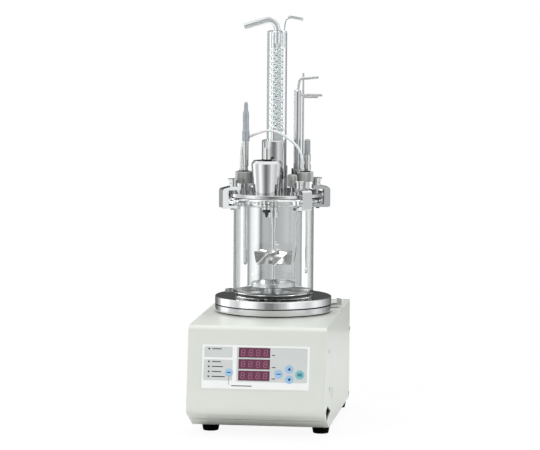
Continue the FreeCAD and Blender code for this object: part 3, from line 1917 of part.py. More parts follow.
return_tube, _, _ = bent_tube(
    [
        at_condenser(0, con_top - 18),
        at_condenser(0, coil_low - 5),
        at_condenser(coil_r, coil_low - 5),
        at_condenser(coil_r, coil_low + 1),
    ],
    1.9,
    limit=3,
)
condenser_coil = coil.multiFuse([inlet_arm, inlet_foot, vent_arm, vent_foot, return_tube])
keep("condenser_coil", shaped("condenser_coil", condenser_coil.removeSplitter()))

jacket_blank = turned(
    "jacket_blank",
    [
        ("condenser_bore", "jacket_low"),
        ("jacket_radius", "jacket_low"),
        ("jacket_radius", "jacket_top"),
        (0, "jacket_top"),
        (0, "jacket_top - jacket_wall"),
        ("condenser_bore", "jacket_top - jacket_wall"),
    ],
    *CONDENSER,
    rounds=[("jacket_radius", "jacket_top", "jacket_round")],
)
jacket_holes = [
    rod("vent_hole", "vent_radius + 0.05", "jacket_top - 8", "jacket_top + 5", *CONDENSER),
    shaped(
        "inlet_hole",
        bent_tube(
            [
                at_condenser(coil_r + 0.3 - 0.3, con_top - 12),
                at_condenser(coil_r + 0.3, con_top - 4),
                at_condenser(coil_r + 4.5, con_top + 20.6),
            ],
            number("inlet_radius + 0.05"),
            limit=8,
        )[0],
    ),
]
keep("condenser_jacket", cut("condenser_jacket", jacket_blank, *jacket_holes))

# ---------------------------------------------------------------- checks and files

doc.recompute()
for thing in doc.Objects:
    if {"Invalid", "Error"} & set(thing.State):
        raise RuntimeError(f"{thing.Name} was not built: {thing.State}")
os.makedirs("parts", exist_ok=True)
for name, piece in pieces.items():
    if piece.Shape.isNull() or not piece.Shape.isValid() or not piece.Shape.Solids:
        raise RuntimeError(f"{name} is not a sound solid")
    piece.Shape.exportStep(f"parts/{name}.step")
print(len(pieces), "pieces")
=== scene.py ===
import math

import bmesh
import bpy
from mathutils import Matrix, Vector


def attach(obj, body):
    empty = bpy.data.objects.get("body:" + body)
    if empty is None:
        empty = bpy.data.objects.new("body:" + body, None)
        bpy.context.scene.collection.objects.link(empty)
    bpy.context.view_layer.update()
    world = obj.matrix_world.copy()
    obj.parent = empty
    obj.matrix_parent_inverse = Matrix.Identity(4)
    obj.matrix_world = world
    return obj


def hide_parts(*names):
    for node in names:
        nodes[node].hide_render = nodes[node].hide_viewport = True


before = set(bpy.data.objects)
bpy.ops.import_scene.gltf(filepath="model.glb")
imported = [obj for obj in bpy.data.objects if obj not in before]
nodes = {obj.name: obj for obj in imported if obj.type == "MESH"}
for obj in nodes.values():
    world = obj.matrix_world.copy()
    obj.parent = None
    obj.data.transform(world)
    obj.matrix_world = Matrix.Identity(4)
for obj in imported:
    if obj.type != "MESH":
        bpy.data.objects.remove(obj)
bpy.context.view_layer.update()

MM = 0.001

# ---------------------------------------------------------------- camera and hose

VIEW_PLACE = (0.50698, -4.03511, 0.67866)
VIEW_TURN, VIEW_DIP, VIEW_ROLL = 7.1964, 5.690, 0.362
lens = bpy.data.cameras.new("bench_view")
lens.lens = 195.573
lens.sensor_width = 36
lens.clip_end = 50
viewer = bpy.data.objects.new("bench_view", lens)
bpy.context.collection.objects.link(viewer)
viewer.matrix_world = (
    Matrix.Translation(VIEW_PLACE)
    @ Matrix.Rotation(math.radians(VIEW_TURN), 4, "Z")
    @ Matrix.Rotation(math.radians(90 - VIEW_DIP), 4, "X")
    @ Matrix.Rotation(math.radians(VIEW_ROLL), 4, "Z")
)
bpy.context.scene.camera = viewer

HOSE_RADIUS = 1.9
HOSE_ROUTE = [
    (-45.1, 11.5, 352),
    (-45.1, 11.5, 367),
    (-44.6, 20.5, 390.5),
    (-25, 25, 399.5),
    (-8, 25, 404.8),
    (8, 23.5, 400.4),
    (23.5, 21, 391),
    (36, 15, 379.5),
    (41.6, 9, 366),
    (41.6, 9, 353),
]
hose_line = bpy.data.curves.new("feed_hose", "CURVE")
hose_line.dimensions = "3D"
hose_line.bevel_depth = 1
hose_line.bevel_resolution = 5
hose_line.use_fill_caps = True
run = hose_line.splines.new("NURBS")
run.points.add(len(HOSE_ROUTE) - 1)
for point, (x, y, z) in zip(run.points, HOSE_ROUTE):
    point.co = (x * MM, y * MM, z * MM, 1)
    point.radius = HOSE_RADIUS * MM
run.order_u = 3
run.use_endpoint_u = True
run.resolution_u = 10
feed_hose = bpy.data.objects.new("feed_hose", hose_line)
bpy.context.collection.objects.link(feed_hose)
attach(feed_hose, "case")
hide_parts("silicone_hose")

# ---------------------------------------------------------------- shared shading effects

GRAIN_SCALE = 1600.0
BUMP_DEPTH = 0.0002


def effect_group(name, inputs, outputs):
    """A shader node group with named sockets, and its input and output nodes."""
    group = bpy.data.node_groups.new(name, "ShaderNodeTree")
    for label, kind, value in inputs:
        socket = group.interface.new_socket(label, in_out="INPUT", socket_type=kind)
        if value is not None:
            socket.default_value = value
    for label, kind in outputs:
        group.interface.new_socket(label, in_out="OUTPUT", socket_type=kind)
    return group, group.nodes.new("NodeGroupInput"), group.nodes.new("NodeGroupOutput")


def node(tree, kind, links=(), **settings):
    """A node with its settings, and its inputs linked or set."""
    made = tree.nodes.new(kind)
    for key, value in settings.items():
        setattr(made, key, value)
    for socket, source in dict(links).items():
        if isinstance(source, bpy.types.NodeSocket):
            tree.links.new(source, made.inputs[socket])
        else:
            made.inputs[socket].default_value = source
    return made


def mixed(tree, factor, first, second):
    """The colour between two others that a factor from 0 to 1 gives."""
    inputs = {0: factor, 6: first, 7: second}
    return node(tree, "ShaderNodeMix", inputs, data_type="RGBA").outputs[2]


def build_mottle():
    """Slow variation of a colour, with matching roughness, and a fine grain."""
    group, source, out = effect_group(
        "mottle",
        [
            ("Colour", "NodeSocketColor", (0.8, 0.8, 0.8, 1)),
            ("Second colour", "NodeSocketColor", (0.7, 0.7, 0.7, 1)),
            ("Scale", "NodeSocketFloat", 30.0),
            ("Roughness", "NodeSocketFloat", 0.4),
            ("Roughness spread", "NodeSocketFloat", 0.1),
        ],
        [
            ("Colour", "NodeSocketColor"),
            ("Roughness", "NodeSocketFloat"),
            ("Grain", "NodeSocketFloat"),
        ],
    )
    place = node(group, "ShaderNodeTexCoord")
    noise = node(
        group,
        "ShaderNodeTexNoise",
        {"Vector": place.outputs["Object"], "Scale": source.outputs["Scale"], "Detail": 5.0},
    )
    blend = mixed(
        group, noise.outputs["Fac"], source.outputs["Colour"], source.outputs["Second colour"]
    )
    group.links.new(blend, out.inputs["Colour"])
    spread = node(
        group,
        "ShaderNodeMath",
        {0: noise.outputs["Fac"], 1: source.outputs["Roughness spread"], 2: source.outputs["Roughness"]},
        operation="MULTIPLY_ADD",
    )
    group.links.new(spread.outputs[0], out.inputs["Roughness"])
    grain = node(
        group,
        "ShaderNodeTexNoise",
        {"Vector": place.outputs["Object"], "Scale": GRAIN_SCALE, "Detail": 3.0},
    )
    group.links.new(grain.outputs["Fac"], out.inputs["Grain"])
    return group


def build_lathe_marks():
    """Fine rings about an upright axis: a height for bump and a roughness."""
    group, source, out = effect_group(
        "lathe_marks",
        [
            ("Centre", "NodeSocketVector", (0, 0, 0)),
            ("Ring scale", "NodeSocketFloat", 900.0),
            ("Height scale", "NodeSocketFloat", 900.0),
            ("Roughness", "NodeSocketFloat", 0.2),
            ("Roughness spread", "NodeSocketFloat", 0.15),
        ],
        [("Height", "NodeSocketFloat"), ("Roughness", "NodeSocketFloat")],
    )
    place = node(group, "ShaderNodeTexCoord")
    shifted = node(
        group,
        "ShaderNodeVectorMath",
        {0: place.outputs["Object"], 1: source.outputs["Centre"]},
        operation="SUBTRACT",
    )
    parts = node(group, "ShaderNodeSeparateXYZ", {0: shifted.outputs[0]})
    flat = node(group, "ShaderNodeCombineXYZ", {0: parts.outputs[0], 1: parts.outputs[1]})
    far = node(group, "ShaderNodeVectorMath", {0: flat.outputs[0]}, operation="LENGTH")
    ring = node(
        group,
        "ShaderNodeMath",
        {0: far.outputs["Value"], 1: source.outputs["Ring scale"]},
        operation="MULTIPLY",
    )
    rise = node(
        group,
        "ShaderNodeMath",
        {0: parts.outputs[2], 1: source.outputs["Height scale"]},
        operation="MULTIPLY",
    )
    where = node(group, "ShaderNodeCombineXYZ", {0: ring.outputs[0], 1: rise.outputs[0]})
    noise = node(group, "ShaderNodeTexNoise", {"Vector": where.outputs[0], "Scale": 1.0, "Detail": 3.0})
    group.links.new(noise.outputs["Fac"], out.inputs["Height"])
    rough = node(
        group,
        "ShaderNodeMath",
        {0: noise.outputs["Fac"], 1: source.outputs["Roughness spread"], 2: source.outputs["Roughness"]},
        operation="MULTIPLY_ADD",
    )
    group.links.new(rough.outputs[0], out.inputs["Roughness"])
    return group


def build_disc_painted_gap_shade():
    """A steel's colour with painted shade: dark bands at the two heights where the discs meet and where
    they rest.
    """
    group, source, out = effect_group(
        "disc_painted_gap_shade",
        [
            ("Steel", "NodeSocketColor", (0.8, 0.8, 0.8, 1)),
            ("Painted gap shade", "NodeSocketColor", (0.035, 0.035, 0.038, 1)),
            ("Upper height", "NodeSocketFloat", 161.5 * MM),
            ("Upper half width", "NodeSocketFloat", 0.85 * MM),
            ("Lower height", "NodeSocketFloat", 151.6 * MM),
            ("Lower half width", "NodeSocketFloat", 1.0 * MM),
        ],
        [("Colour", "NodeSocketColor")],
    )
    place = node(group, "ShaderNodeTexCoord")
    level = node(group, "ShaderNodeSeparateXYZ", {0: place.outputs["Object"]})
    tone = source.outputs["Steel"]
    for gap in ("Upper", "Lower"):
        inside = node(
            group,
            "ShaderNodeMath",
            {
                0: level.outputs[2],
                1: source.outputs[f"{gap} height"],
                2: source.outputs[f"{gap} half width"],
            },
            operation="COMPARE",
        )
        tone = mixed(group, inside.outputs[0], tone, source.outputs["Painted gap shade"])
    group.links.new(tone, out.inputs["Colour"])
    return group


mottle = build_mottle()
lathe_marks = build_lathe_marks()
disc_painted_gap_shade = build_disc_painted_gap_shade()


def use_group(tree, group, **values):
    """Places a shared effect in a material with its own values."""
    placed = tree.nodes.new("ShaderNodeGroup")
    placed.node_tree = group
    for label, value in values.items():
        placed.inputs[label.replace("_", " ")].default_value = value
    return placed


def surface(name, **settings):
    """A material with its Principled shader set, and its tree."""
    material = bpy.data.materials.new(name)
    material.use_nodes = True
    tree = material.node_tree
    shader = tree.nodes["Principled BSDF"]
    for label, value in settings.items():
        shader.inputs[label.replace("_", " ")].default_value = value
    return material, tree, shader


def bump(tree, shader, height, strength):
    """Feeds a height to the shader's normal."""
    ripple = node(
        tree, "ShaderNodeBump", {"Height": height, "Strength": strength, "Distance": BUMP_DEPTH}
    )
    tree.links.new(ripple.outputs[0], shader.inputs["Normal"])


def rgb(r, g, b):
    """A written colour (0 to 255) as the linear colour that shows as it."""

    def linear(c):
        c /= 255
        return c / 12.92 if c <= 0.04045 else ((c + 0.055) / 1.055) ** 2.4

    return (linear(r), linear(g), linear(b), 1)


def plain(name, colour, second=None, roughness=0.4, spread=0.1, scale=40.0, grain=0.0, **more):
    """Paint, plastic or rubber: a mottled colour with a fine grain."""
    material, tree, shader = surface(name, **more)
    effect = use_group(
        tree,
        mottle,
        Colour=colour,
        Second_colour=second or colour,
        Scale=scale,
        Roughness=roughness,
        Roughness_spread=spread,
    )
    tree.links.new(effect.outputs["Colour"], shader.inputs["Base Color"])
    tree.links.new(effect.outputs["Roughness"], shader.inputs["Roughness"])
    if grain:
        bump(tree, shader, effect.outputs["Grain"], grain)
    return material


def steel(name, colour, centre, roughness, spread, rings, rise, mark, painted_gap_shade=False):
    """Machined or polished steel with fine turning marks about an upright axis."""
    material, tree, shader = surface(name, Metallic=1.0, Base_Color=colour)
    effect = use_group(
        tree,
        lathe_marks,
        Centre=(centre[0] * MM, centre[1] * MM, 0),
        Ring_scale=rings,
        Height_scale=rise,
        Roughness=roughness,
        Roughness_spread=spread,
    )
    tree.links.new(effect.outputs["Roughness"], shader.inputs["Roughness"])
    bump(tree, shader, effect.outputs["Height"], mark)
    # painted shade: the steel is darkened in two thin bands where the discs meet and where they rest
    if painted_gap_shade:
        dark = use_group(tree, disc_painted_gap_shade, Steel=colour)
        tree.links.new(dark.outputs["Colour"], shader.inputs["Base Color"])
    return material


def glass(name, tint, ior):
    """Clear glass, with its tint and how strongly it bends light."""
    return surface(name, Base_Color=tint, Roughness=0.0, IOR=ior, Transmission_Weight=1.0)[0]


# ---------------------------------------------------------------- finishes

JAR_AXIS = (0, 21)
CUP_AXIS = (-4.9, -18.8)

cream = plain(
    "cream_paint", rgb(216, 219, 212), rgb(213, 216, 208), 0.36, 0.08, 14.0, 0.04, Coat_Weight=0.12
)
black_rubber = plain(
    "black_rubber", rgb(9, 9, 9), rgb(14, 14, 13), 0.6, 0.2, 120.0, 0.3, Specular_IOR_Level=0.25
)
foot_rubber = plain(
    "foot_rubber", rgb(7, 8, 6), rgb(10, 11, 9), 0.85, 0.1, 120.0, 0.3, Specular_IOR_Level=0.04
)
black_plastic = plain("black_plastic", rgb(24, 24, 26), rgb(32, 32, 34), 0.35, 0.15, 90.0, 0.1)
dark_paint = plain("motor_paint", rgb(40, 42, 46), rgb(48, 50, 52), 0.45, 0.1, 60.0, 0.1)
board_green = plain("board_lacquer", rgb(24, 84, 52), rgb(30, 96, 58), 0.3, 0.1, 300.0)
film_white = plain("panel_film", rgb(240, 242, 240), rgb(236, 238, 236), 0.35, 0.05, 60.0)
film_grey = plain("panel_print_grey", rgb(206, 209, 206), rgb(202, 205, 203), 0.35, 0.05, 60.0)
film_dark = plain("panel_print_dark", rgb(18, 19, 22), rgb(24, 25, 28), 0.4, 0.05, 200.0)
window_maroon = plain(
    "display_window", rgb(112, 58, 82), rgb(104, 50, 74), 0.12, 0.04, 200.0, Coat_Weight=0.5
)
window_edge = plain("display_border", rgb(84, 42, 62), rgb(76, 38, 56), 0.2, 0.05, 200.0)
segment_pale = plain("display_segments", rgb(152, 106, 130), rgb(144, 98, 122), 0.3, 0.05, 400.0)
key_blue = plain("key_blue", rgb(160, 200, 232), rgb(150, 192, 226), 0.35, 0.08, 120.0)
key_teal = plain("key_teal", rgb(128, 196, 202), rgb(118, 188, 196), 0.35, 0.08, 120.0)
key_print = plain("key_print", rgb(16, 34, 66), rgb(20, 40, 74), 0.4, 0.05, 200.0)
silicone = plain(
    "clear_silicone",
    rgb(244, 244, 242),
    rgb(238, 238, 236),
    0.3,
    0.1,
    200.0,
    Subsurface_Weight=0.2,
    Transmission_Weight=0.12,
)
barb_white = plain("barb_plastic", rgb(232, 233, 232), rgb(224, 226, 225), 0.3, 0.1, 200.0)
jar_glass = glass("jar_glass", (0.985, 0.995, 0.99, 1), 1.47)
thin_glass = glass("condenser_glass", (0.97, 0.985, 0.985, 1), 1.22)
# both disc steels carry painted shade in two thin bands where the discs meet and where they rest
disc_steel = steel(
    "turned_steel", (0.62, 0.62, 0.62, 1), JAR_AXIS, 0.04, 0.07, 700.0, 1100.0, 0.04, painted_gap_shade=True
)
plate_steel = steel(
    "plate_steel", (0.80, 0.80, 0.80, 1), JAR_AXIS, 0.04, 0.07, 700.0, 1100.0, 0.04, painted_gap_shade=True
)
lid_steel = steel("lid_steel", (0.62, 0.62, 0.62, 1), JAR_AXIS, 0.06, 0.08, 700.0, 900.0, 0.10)
satin_steel = steel("satin_steel", (0.60, 0.605, 0.61, 1), JAR_AXIS, 0.16, 0.10, 500.0, 500.0, 0.12)
bright_steel = steel("bright_steel", (0.66, 0.66, 0.66, 1), JAR_AXIS, 0.04, 0.06, 500.0, 500.0, 0.05)
cup_steel = steel("cup_steel", (0.64, 0.64, 0.645, 1), CUP_AXIS, 0.035, 0.05, 400.0, 200.0, 0.03)
bell_steel = steel("bell_steel", (0.55, 0.55, 0.55, 1), JAR_AXIS, 0.06, 0.06, 400.0, 200.0, 0.05)
clamp_steel = steel("clamp_steel", (0.68, 0.685, 0.69, 1), JAR_AXIS, 0.07, 0.10, 500.0, 500.0, 0.15)
latch_steel = steel("latch_steel", (0.34, 0.345, 0.33, 1), JAR_AXIS, 0.10, 0.12, 500.0, 500.0, 0.2)
dark_steel = steel("dark_steel", (0.42, 0.43, 0.44, 1), JAR_AXIS, 0.22, 0.12, 500.0, 500.0, 0.2)
knurled_steel = steel("knurled_steel", (0.50, 0.51, 0.49, 1), JAR_AXIS, 0.32, 0.15, 500.0, 900.0, 0.3)
blade_steel = steel("blade_steel", (0.80, 0.80, 0.80, 1), JAR_AXIS, 0.08, 0.12, 260.0, 420.0, 0.6)
boot_grey = plain("probe_boot_grey", rgb(176, 179, 180), rgb(160, 163, 165), 0.45, 0.15, 300.0, 0.2)
electrode_grey = plain(
    "electrode_grey", rgb(172, 178, 182), rgb(160, 166, 171), 0.3, 0.1, 160.0, 0.1, Metallic=0.35
)

FINISHES = {
    "front_cover": cream,
    "chassis": cream,
    "rear_panel": cream,
    "rubber_feet": foot_rubber,
    "cover_screws": bright_steel,
    "drive_motor": dark_paint,
    "motor_bracket": satin_steel,
    "drive_magnet": satin_steel,
    "control_board": board_green,
    "display_board": black_plastic,
    "power_inlet": black_plastic,
    "power_switch": black_plastic,
    "panel_overlay": film_white,
    "display_windows": window_maroon,
    "key_mode": key_blue,
    "key_set": key_blue,
    "key_up": key_blue,
    "key_down": key_blue,
    "key_start": key_teal,
    "lower_disc": disc_steel,
    "heating_plate": plate_steel,
    "latch_left": latch_steel,
    "latch_right": latch_steel,
    "vessel": jar_glass,
    "vessel_gasket": black_rubber,
    "lid_plate": lid_steel,
    "lid_clamps": clamp_steel,
    "clamp_rests": black_rubber,
    "stirrer_bearing": satin_steel,
    "stirrer_shaft": bright_steel,
    "stirrer_magnet": satin_steel,
    "impeller": blade_steel,
    "centre_bell": bell_steel,
    "inoculation_cup": cup_steel,
    "cup_washer": black_rubber,
    "cup_knob": bright_steel,
    "cup_plug": black_rubber,
    "left_port_cap": knurled_steel,
    "right_port_cap": knurled_steel,
    "small_port_cap": knurled_steel,
    "port_seals": black_rubber,
    "ph_electrode": satin_steel,
    "electrode_head": dark_steel,
    "hose_barbs": barb_white,
    "gas_tube": satin_steel,
    "gas_tube_nut": bright_steel,
    "sampling_tube": satin_steel,
    "temperature_probe": bright_steel,
    "probe_boot": boot_grey,
    "condenser_coil": thin_glass,
    "condenser_jacket": thin_glass,
}
for k in range(1, 5):
    FINISHES[f"clamp_screw_{k}"] = bright_steel
    FINISHES[f"clamp_pad_{k}"] = satin_steel
for name, finish in FINISHES.items():
    for slot in nodes[name].material_slots:
        slot.material = finish
hose_line.materials.append(silicone)

# ---------------------------------------------------------------- ways of making a piece


def finished(name, mesh, body, finish, smooth, replaces=()):
    """Turns a bmesh into a piece that rides on a body."""
    bmesh.ops.remove_doubles(mesh, verts=mesh.verts, dist=1e-7)
    bmesh.ops.recalc_face_normals(mesh, faces=mesh.faces)
    data = bpy.data.meshes.new(name)
    mesh.to_mesh(data)
    mesh.free()
    data.materials.append(finish)
    piece = bpy.data.objects.new(name, data)
    bpy.context.collection.objects.link(piece)
    if smooth:
        data.shade_smooth()
        data.set_sharp_from_angle(angle=math.radians(smooth))
    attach(piece, body)
    if replaces:
        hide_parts(*replaces)


def millimetres(mesh, matrix=None):
    """Puts a mesh drawn in millimetres where it belongs."""
    if matrix is not None:
        bmesh.ops.transform(mesh, matrix=matrix, verts=mesh.verts)
    bmesh.ops.scale(mesh, vec=(MM, MM, MM), verts=mesh.verts)


def only(parts, kind):
    """The corners, edges or faces among what an operator gives back."""
    return [part for part in parts if isinstance(part, kind)]


def lathe(mesh, outline, centre, steps):
    """Spins (radius, height) corners about an upright axis into an existing mesh."""
    corners = [mesh.verts.new((centre[0] + r, centre[1], z)) for r, z in outline]
    edges = [mesh.edges.new(pair) for pair in zip(corners, corners[1:])]
    bmesh.ops.spin(
        mesh,
        geom=corners + edges,
        cent=(centre[0], centre[1], 0),
        axis=(0, 0, 1),
        angle=2 * math.pi,
        steps=steps,
        use_merge=True,
        use_duplicate=False,
    )


def tile(mesh, x, y, z, width, height, thick, corner=0.0):
    """A thin plate centred at x, y with its underside at z, with rounded corners."""
    made = bmesh.ops.create_cube(mesh, size=1)["verts"]
    bmesh.ops.scale(mesh, vec=(width, height, thick), verts=made)
    bmesh.ops.translate(mesh, vec=(x, y, z + thick / 2), verts=made)
    if corner:
        chosen = set(made)
        upright = [
            edge
            for edge in mesh.edges
            if edge.verts[0] in chosen
            and edge.verts[1] in chosen
            and abs(edge.verts[0].co.z - edge.verts[1].co.z) > thick / 2
        ]
        bmesh.ops.bevel(
            mesh,
            geom=upright,
            offset=corner,
            segments=3,
            profile=0.5,
            affect="EDGES",
            material=-1,
        )


def cut_out(mesh, cutter):
    """Cuts the closed shapes of one bmesh out of another."""
    blanks = []
    for name, shape in (("blank", mesh), ("punch", cutter)):
        data = bpy.data.meshes.new(name)
        shape.to_mesh(data)
        blanks.append(bpy.data.objects.new(name, data))
        bpy.context.collection.objects.link(blanks[-1])
    blanks[0].modifiers.new("openings", "BOOLEAN").object = blanks[1]
    cut = bpy.data.meshes.new_from_object(
        blanks[0].evaluated_get(bpy.context.evaluated_depsgraph_get())
    )
    mesh.clear()
    mesh.from_mesh(cut)
    for data in [blank.data for blank in blanks] + [cut]:
        bpy.data.meshes.remove(data)
    cutter.free()


# ---------------------------------------------------------------- glass coil and its arms


def rounded(corners, radius, steps=8):
    """A route through corners, with each inner corner turned into an arc."""
    corners = [Vector(corner) for corner in corners]
    route = [corners[0]]
    for before, corner, after in zip(corners, corners[1:], corners[2:]):
        back, ahead = (before - corner).normalized(), (after - corner).normalized()
        half = back.angle(ahead) / 2
        reach = min(
            radius / math.tan(half), (before - corner).length / 2.05, (after - corner).length / 2.05
        )
        first, last = corner + back * reach, corner + ahead * reach
        hub = corner + (back + ahead).normalized() * (reach / math.cos(half))
        for i in range(steps + 1):
            arm = (first - hub).lerp(last - hub, i / steps)
            route.append(hub + arm.normalized() * (first - hub).length)
    route.append(corners[-1])
    return route


def glass_pipe(mesh, route, radius, bore, sides):
    """A hollow pipe along a route, open at both ends."""
    side = (route[1] - route[0]).orthogonal().normalized()
    turns = []
    for i in range(len(route)):
        heading = (route[min(i + 1, len(route) - 1)] - route[max(i - 1, 0)]).normalized()
        side = (side - heading * side.dot(heading)).normalized()
        turns.append(Matrix((side, heading.cross(side), heading)).transposed())
    starts, ends = [], []
    for r in (radius, bore):
        corners = bmesh.ops.create_circle(mesh, segments=sides, radius=r)["verts"]
        rim = list(dict.fromkeys(edge for corner in corners for edge in corner.link_edges))
        starts += rim
        bmesh.ops.transform(mesh, matrix=turns[0].to_4x4(), verts=corners)
        bmesh.ops.translate(mesh, vec=route[0], verts=corners)
        # each ring turns about its own centre, so that rounding doesn't build up
        wall = []
        for i in range(1, len(route)):
            grown = bmesh.ops.extrude_edge_only(mesh, edges=rim)["geom"]
            wall += only(grown, bmesh.types.BMFace)
            rim = only(grown, bmesh.types.BMEdge)
            corners = only(grown, bmesh.types.BMVert)
            turn = turns[i] @ turns[i - 1].transposed()
            bmesh.ops.rotate(mesh, cent=route[i - 1], matrix=turn, verts=corners)
            bmesh.ops.translate(mesh, vec=route[i] - route[i - 1], verts=corners)
        ends += rim
    # the bore's wall faces inwards, or the ends would be joined crosswise
    bmesh.ops.reverse_faces(mesh, faces=wall)
    for rims in (starts, ends):
        bmesh.ops.bridge_loops(mesh, edges=rims)


CONDENSER = Vector((-1.1, 56, 0))
JACKET_TOP = 542
COIL_LOW = 404
COIL_PITCH = 8.2
COIL_TURNS = 14
COIL_STEPS = 26
COIL_RADIUS = 8.4


def in_condenser(dx, z, dy=0):
    """A place measured from the condenser's axis."""
    return CONDENSER + Vector((dx, dy, z))


coil_top = COIL_LOW + COIL_PITCH * COIL_TURNS
coil_route = []
for i in range(COIL_TURNS * COIL_STEPS + 1):
    angle = 2 * math.pi * i / COIL_STEPS
    climb = COIL_LOW + COIL_PITCH * i / COIL_STEPS
    coil_route.append(
        in_condenser(COIL_RADIUS * math.cos(angle), climb, COIL_RADIUS * math.sin(angle))
    )
coil = bmesh.new()
glass_pipe(coil, coil_route, 1.9, 1.5, 12)
inlet_route = [
    in_condenser(COIL_RADIUS, coil_top - 0.5),
    in_condenser(COIL_RADIUS + 0.3, JACKET_TOP - 4),
    in_condenser(12.9, JACKET_TOP + 20.6),
    in_condenser(36.6, JACKET_TOP + 16.1),
]
glass_pipe(coil, rounded(inlet_route, 9, 14), 2.8, 2.1, 36)
vent_route = [
    in_condenser(0, JACKET_TOP - 18),
    in_condenser(0, JACKET_TOP + 19),
    in_condenser(-46, JACKET_TOP + 5.15),
]
glass_pipe(coil, rounded(vent_route, 13, 16), 4.6, 3.7, 40)
return_route = [
    in_condenser(0, JACKET_TOP - 18),
    in_condenser(0, COIL_LOW - 5),
    in_condenser(COIL_RADIUS, COIL_LOW - 5),
    in_condenser(COIL_RADIUS, COIL_LOW + 0.5),
]
glass_pipe(coil, rounded(return_route, 3), 1.9, 1.4, 24)
millimetres(coil)
finished("glass_coil", coil, "case", thin_glass, smooth=50, replaces=["condenser_coil"])

# ---------------------------------------------------------------- knurled caps, boot and electrode


def knurled_cap(name, body, centre, outline, radius, low, high, ribs=56, depth=0.42):
    """A cap whose outer wall is cut with fine upright ribs between two heights."""
    mesh = bmesh.new()
    steps = ribs * 2
    lathe(mesh, outline + outline[:1], centre, steps)
    bmesh.ops.remove_doubles(mesh, verts=mesh.verts, dist=1e-4)
    grooves = []
    for vert in mesh.verts:
        dx, dy = vert.co.x - centre[0], vert.co.y - centre[1]
        on_wall = math.hypot(dx, dy) > radius - 0.05 and low - 0.01 <= vert.co.z <= high + 0.01
        if on_wall and round(math.atan2(dy, dx) / (2 * math.pi) * steps) % 2:
            grooves.append(vert)
    share = 1 - depth / radius
    bmesh.ops.scale(
        mesh,
        vec=(share, share, 1),
        space=Matrix.Translation((-centre[0], -centre[1], 0)),
        verts=grooves,
    )
    millimetres(mesh)
    finished(f"{name}_knurled", mesh, body, knurled_steel, smooth=20, replaces=[name])


for name, body, centre, low, top in (
    ("left_port_cap", "left_cap", (-41.5, 13), 330.5, 347),
    ("right_port_cap", "right_cap", (44.8, 9), 334.6, 348),
):
    cap_outline = [
        (9.7, low),
        (11.1, low),
        (11.9, low + 0.8),
        (11.9, top - 0.8),
        (11.1, top),
        (8, top),
        (8, top - 2.5),
        (9.7, top - 2.5),
    ]
    knurled_cap(name, body, centre, cap_outline, 11.9, low + 0.8, top - 0.8)

knurled_cap(
    "small_port_cap",
    "small_cap",
    (29.5, -9),
    [
        (0, 345.6),
        (4.4, 345.6),
        (6, 344.7),
        (6.7, 343.2),
        (6.7, 329.2),
        (6.1, 328.6),
        (5.1, 328.6),
        (5.1, 341.8),
        (0, 341.8),
    ],
    radius=6.7,
    low=329.2,
    high=343.2,
    ribs=36,
    depth=0.4,
)

boot_outline = [(2.05, 370), (4.0, 370)]
for i in range(7):
    foot = 370.4 + 2.7 * i
    boot_outline += [(4.4, foot), (4.4, foot + 1.7), (3.7, foot + 1.9), (3.7, foot + 2.5)]
boot_outline += [(4.2, 389.4), (3.2, 391.6), (0, 392), (0, 380.2), (2.05, 380.2), (2.05, 370)]
boot = bmesh.new()
lathe(boot, boot_outline, (45.3, 33), 40)
millimetres(boot)
finished("ribbed_boot", boot, "case", boot_grey, smooth=30, replaces=["probe_boot"])

head_outline = [
    (2.45, 389),
    (5.1, 389),
    (5.1, 403.4),
    (4.5, 404),
    (4.3, 405),
    (4.3, 426),
    (4.1, 428.5),
    (3.2, 431.5),
    (2.8, 433.5),
    (2.8, 439.5),
    (2.5, 442),
    (1.6, 443.6),
    (0, 444),
    (0, 395.2),
    (2.45, 395.2),
    (2.45, 389),
]
head = bmesh.new()
lathe(head, head_outline, (-38.9, 13), 40)
millimetres(head)
finished("electrode_cable_head", head, "case", electrode_grey, smooth=35, replaces=["electrode_head"])

# ---------------------------------------------------------------- operating panel

PANEL_TOP = (0, -146.8, 150)
PANEL_SLOPE = 79.452
PANEL = Matrix.Translation(PANEL_TOP) @ Matrix.Rotation(math.radians(PANEL_SLOPE), 4, "X")
# heights of what is printed, above the panel's plane
FILM = 0.62
FIELD = FILM + 0.12
WINDOW = FIELD + 0.1
KEY_TOP = 1.0
INK = 0.05
SYMBOL = 0.08
DISPLAY_X = -3
DISPLAY_ROWS = [-35.2 - 15.5 * row for row in range(3)]
# where each key is on the panel, and its radius
KEYS = {
    "mode": (-36.9, -62.5, 4.9),
    "set": (30.6, -63.3, 5.5),
    "up": (44.9, -56.5, 5.3),
    "down": (45.1, -70.1, 5.3),
    "start": (59.1, -63.5, 5.9),
}
KEY_ROOM = 0.2

fields = bmesh.new()
for x, y, width, height in (
    (-52, -35.2, 38.3, 14.6),
    (-52, -59.4, 39.4, 28.1),
    (21, -51.2, 95.8, 46.6),
):
    tile(fields, x, y, FILM, width, height, FIELD - FILM, 1.2)
faces = bmesh.new()
for row in DISPLAY_ROWS:
    tile(faces, DISPLAY_X, row, FIELD, 41.6, 12.2, WINDOW - FIELD)
millimetres(faces, PANEL)
finished("display_faces", faces, "case", window_maroon, smooth=0)
lamps = bmesh.new()
for y in (-31.0, -48.3, -54.9, -61.7, -68.3):
    tile(lamps, -64.7, y, FIELD, 2.3, 2.3, 0.12, 0.7)
millimetres(lamps, PANEL)
finished("panel_lamps", lamps, "case", black_plastic, smooth=0)
openings = bmesh.new()
for x, y, r in KEYS.values():
    made = bmesh.ops.create_cone(
        openings, cap_ends=True, segments=64, radius1=r + KEY_ROOM, radius2=r + KEY_ROOM, depth=2
    )["verts"]
    bmesh.ops.translate(openings, vec=(x, y, FILM), verts=made)
cut_out(fields, openings)
millimetres(fields, PANEL)
finished("panel_grey_fields", fields, "case", film_grey, smooth=0)


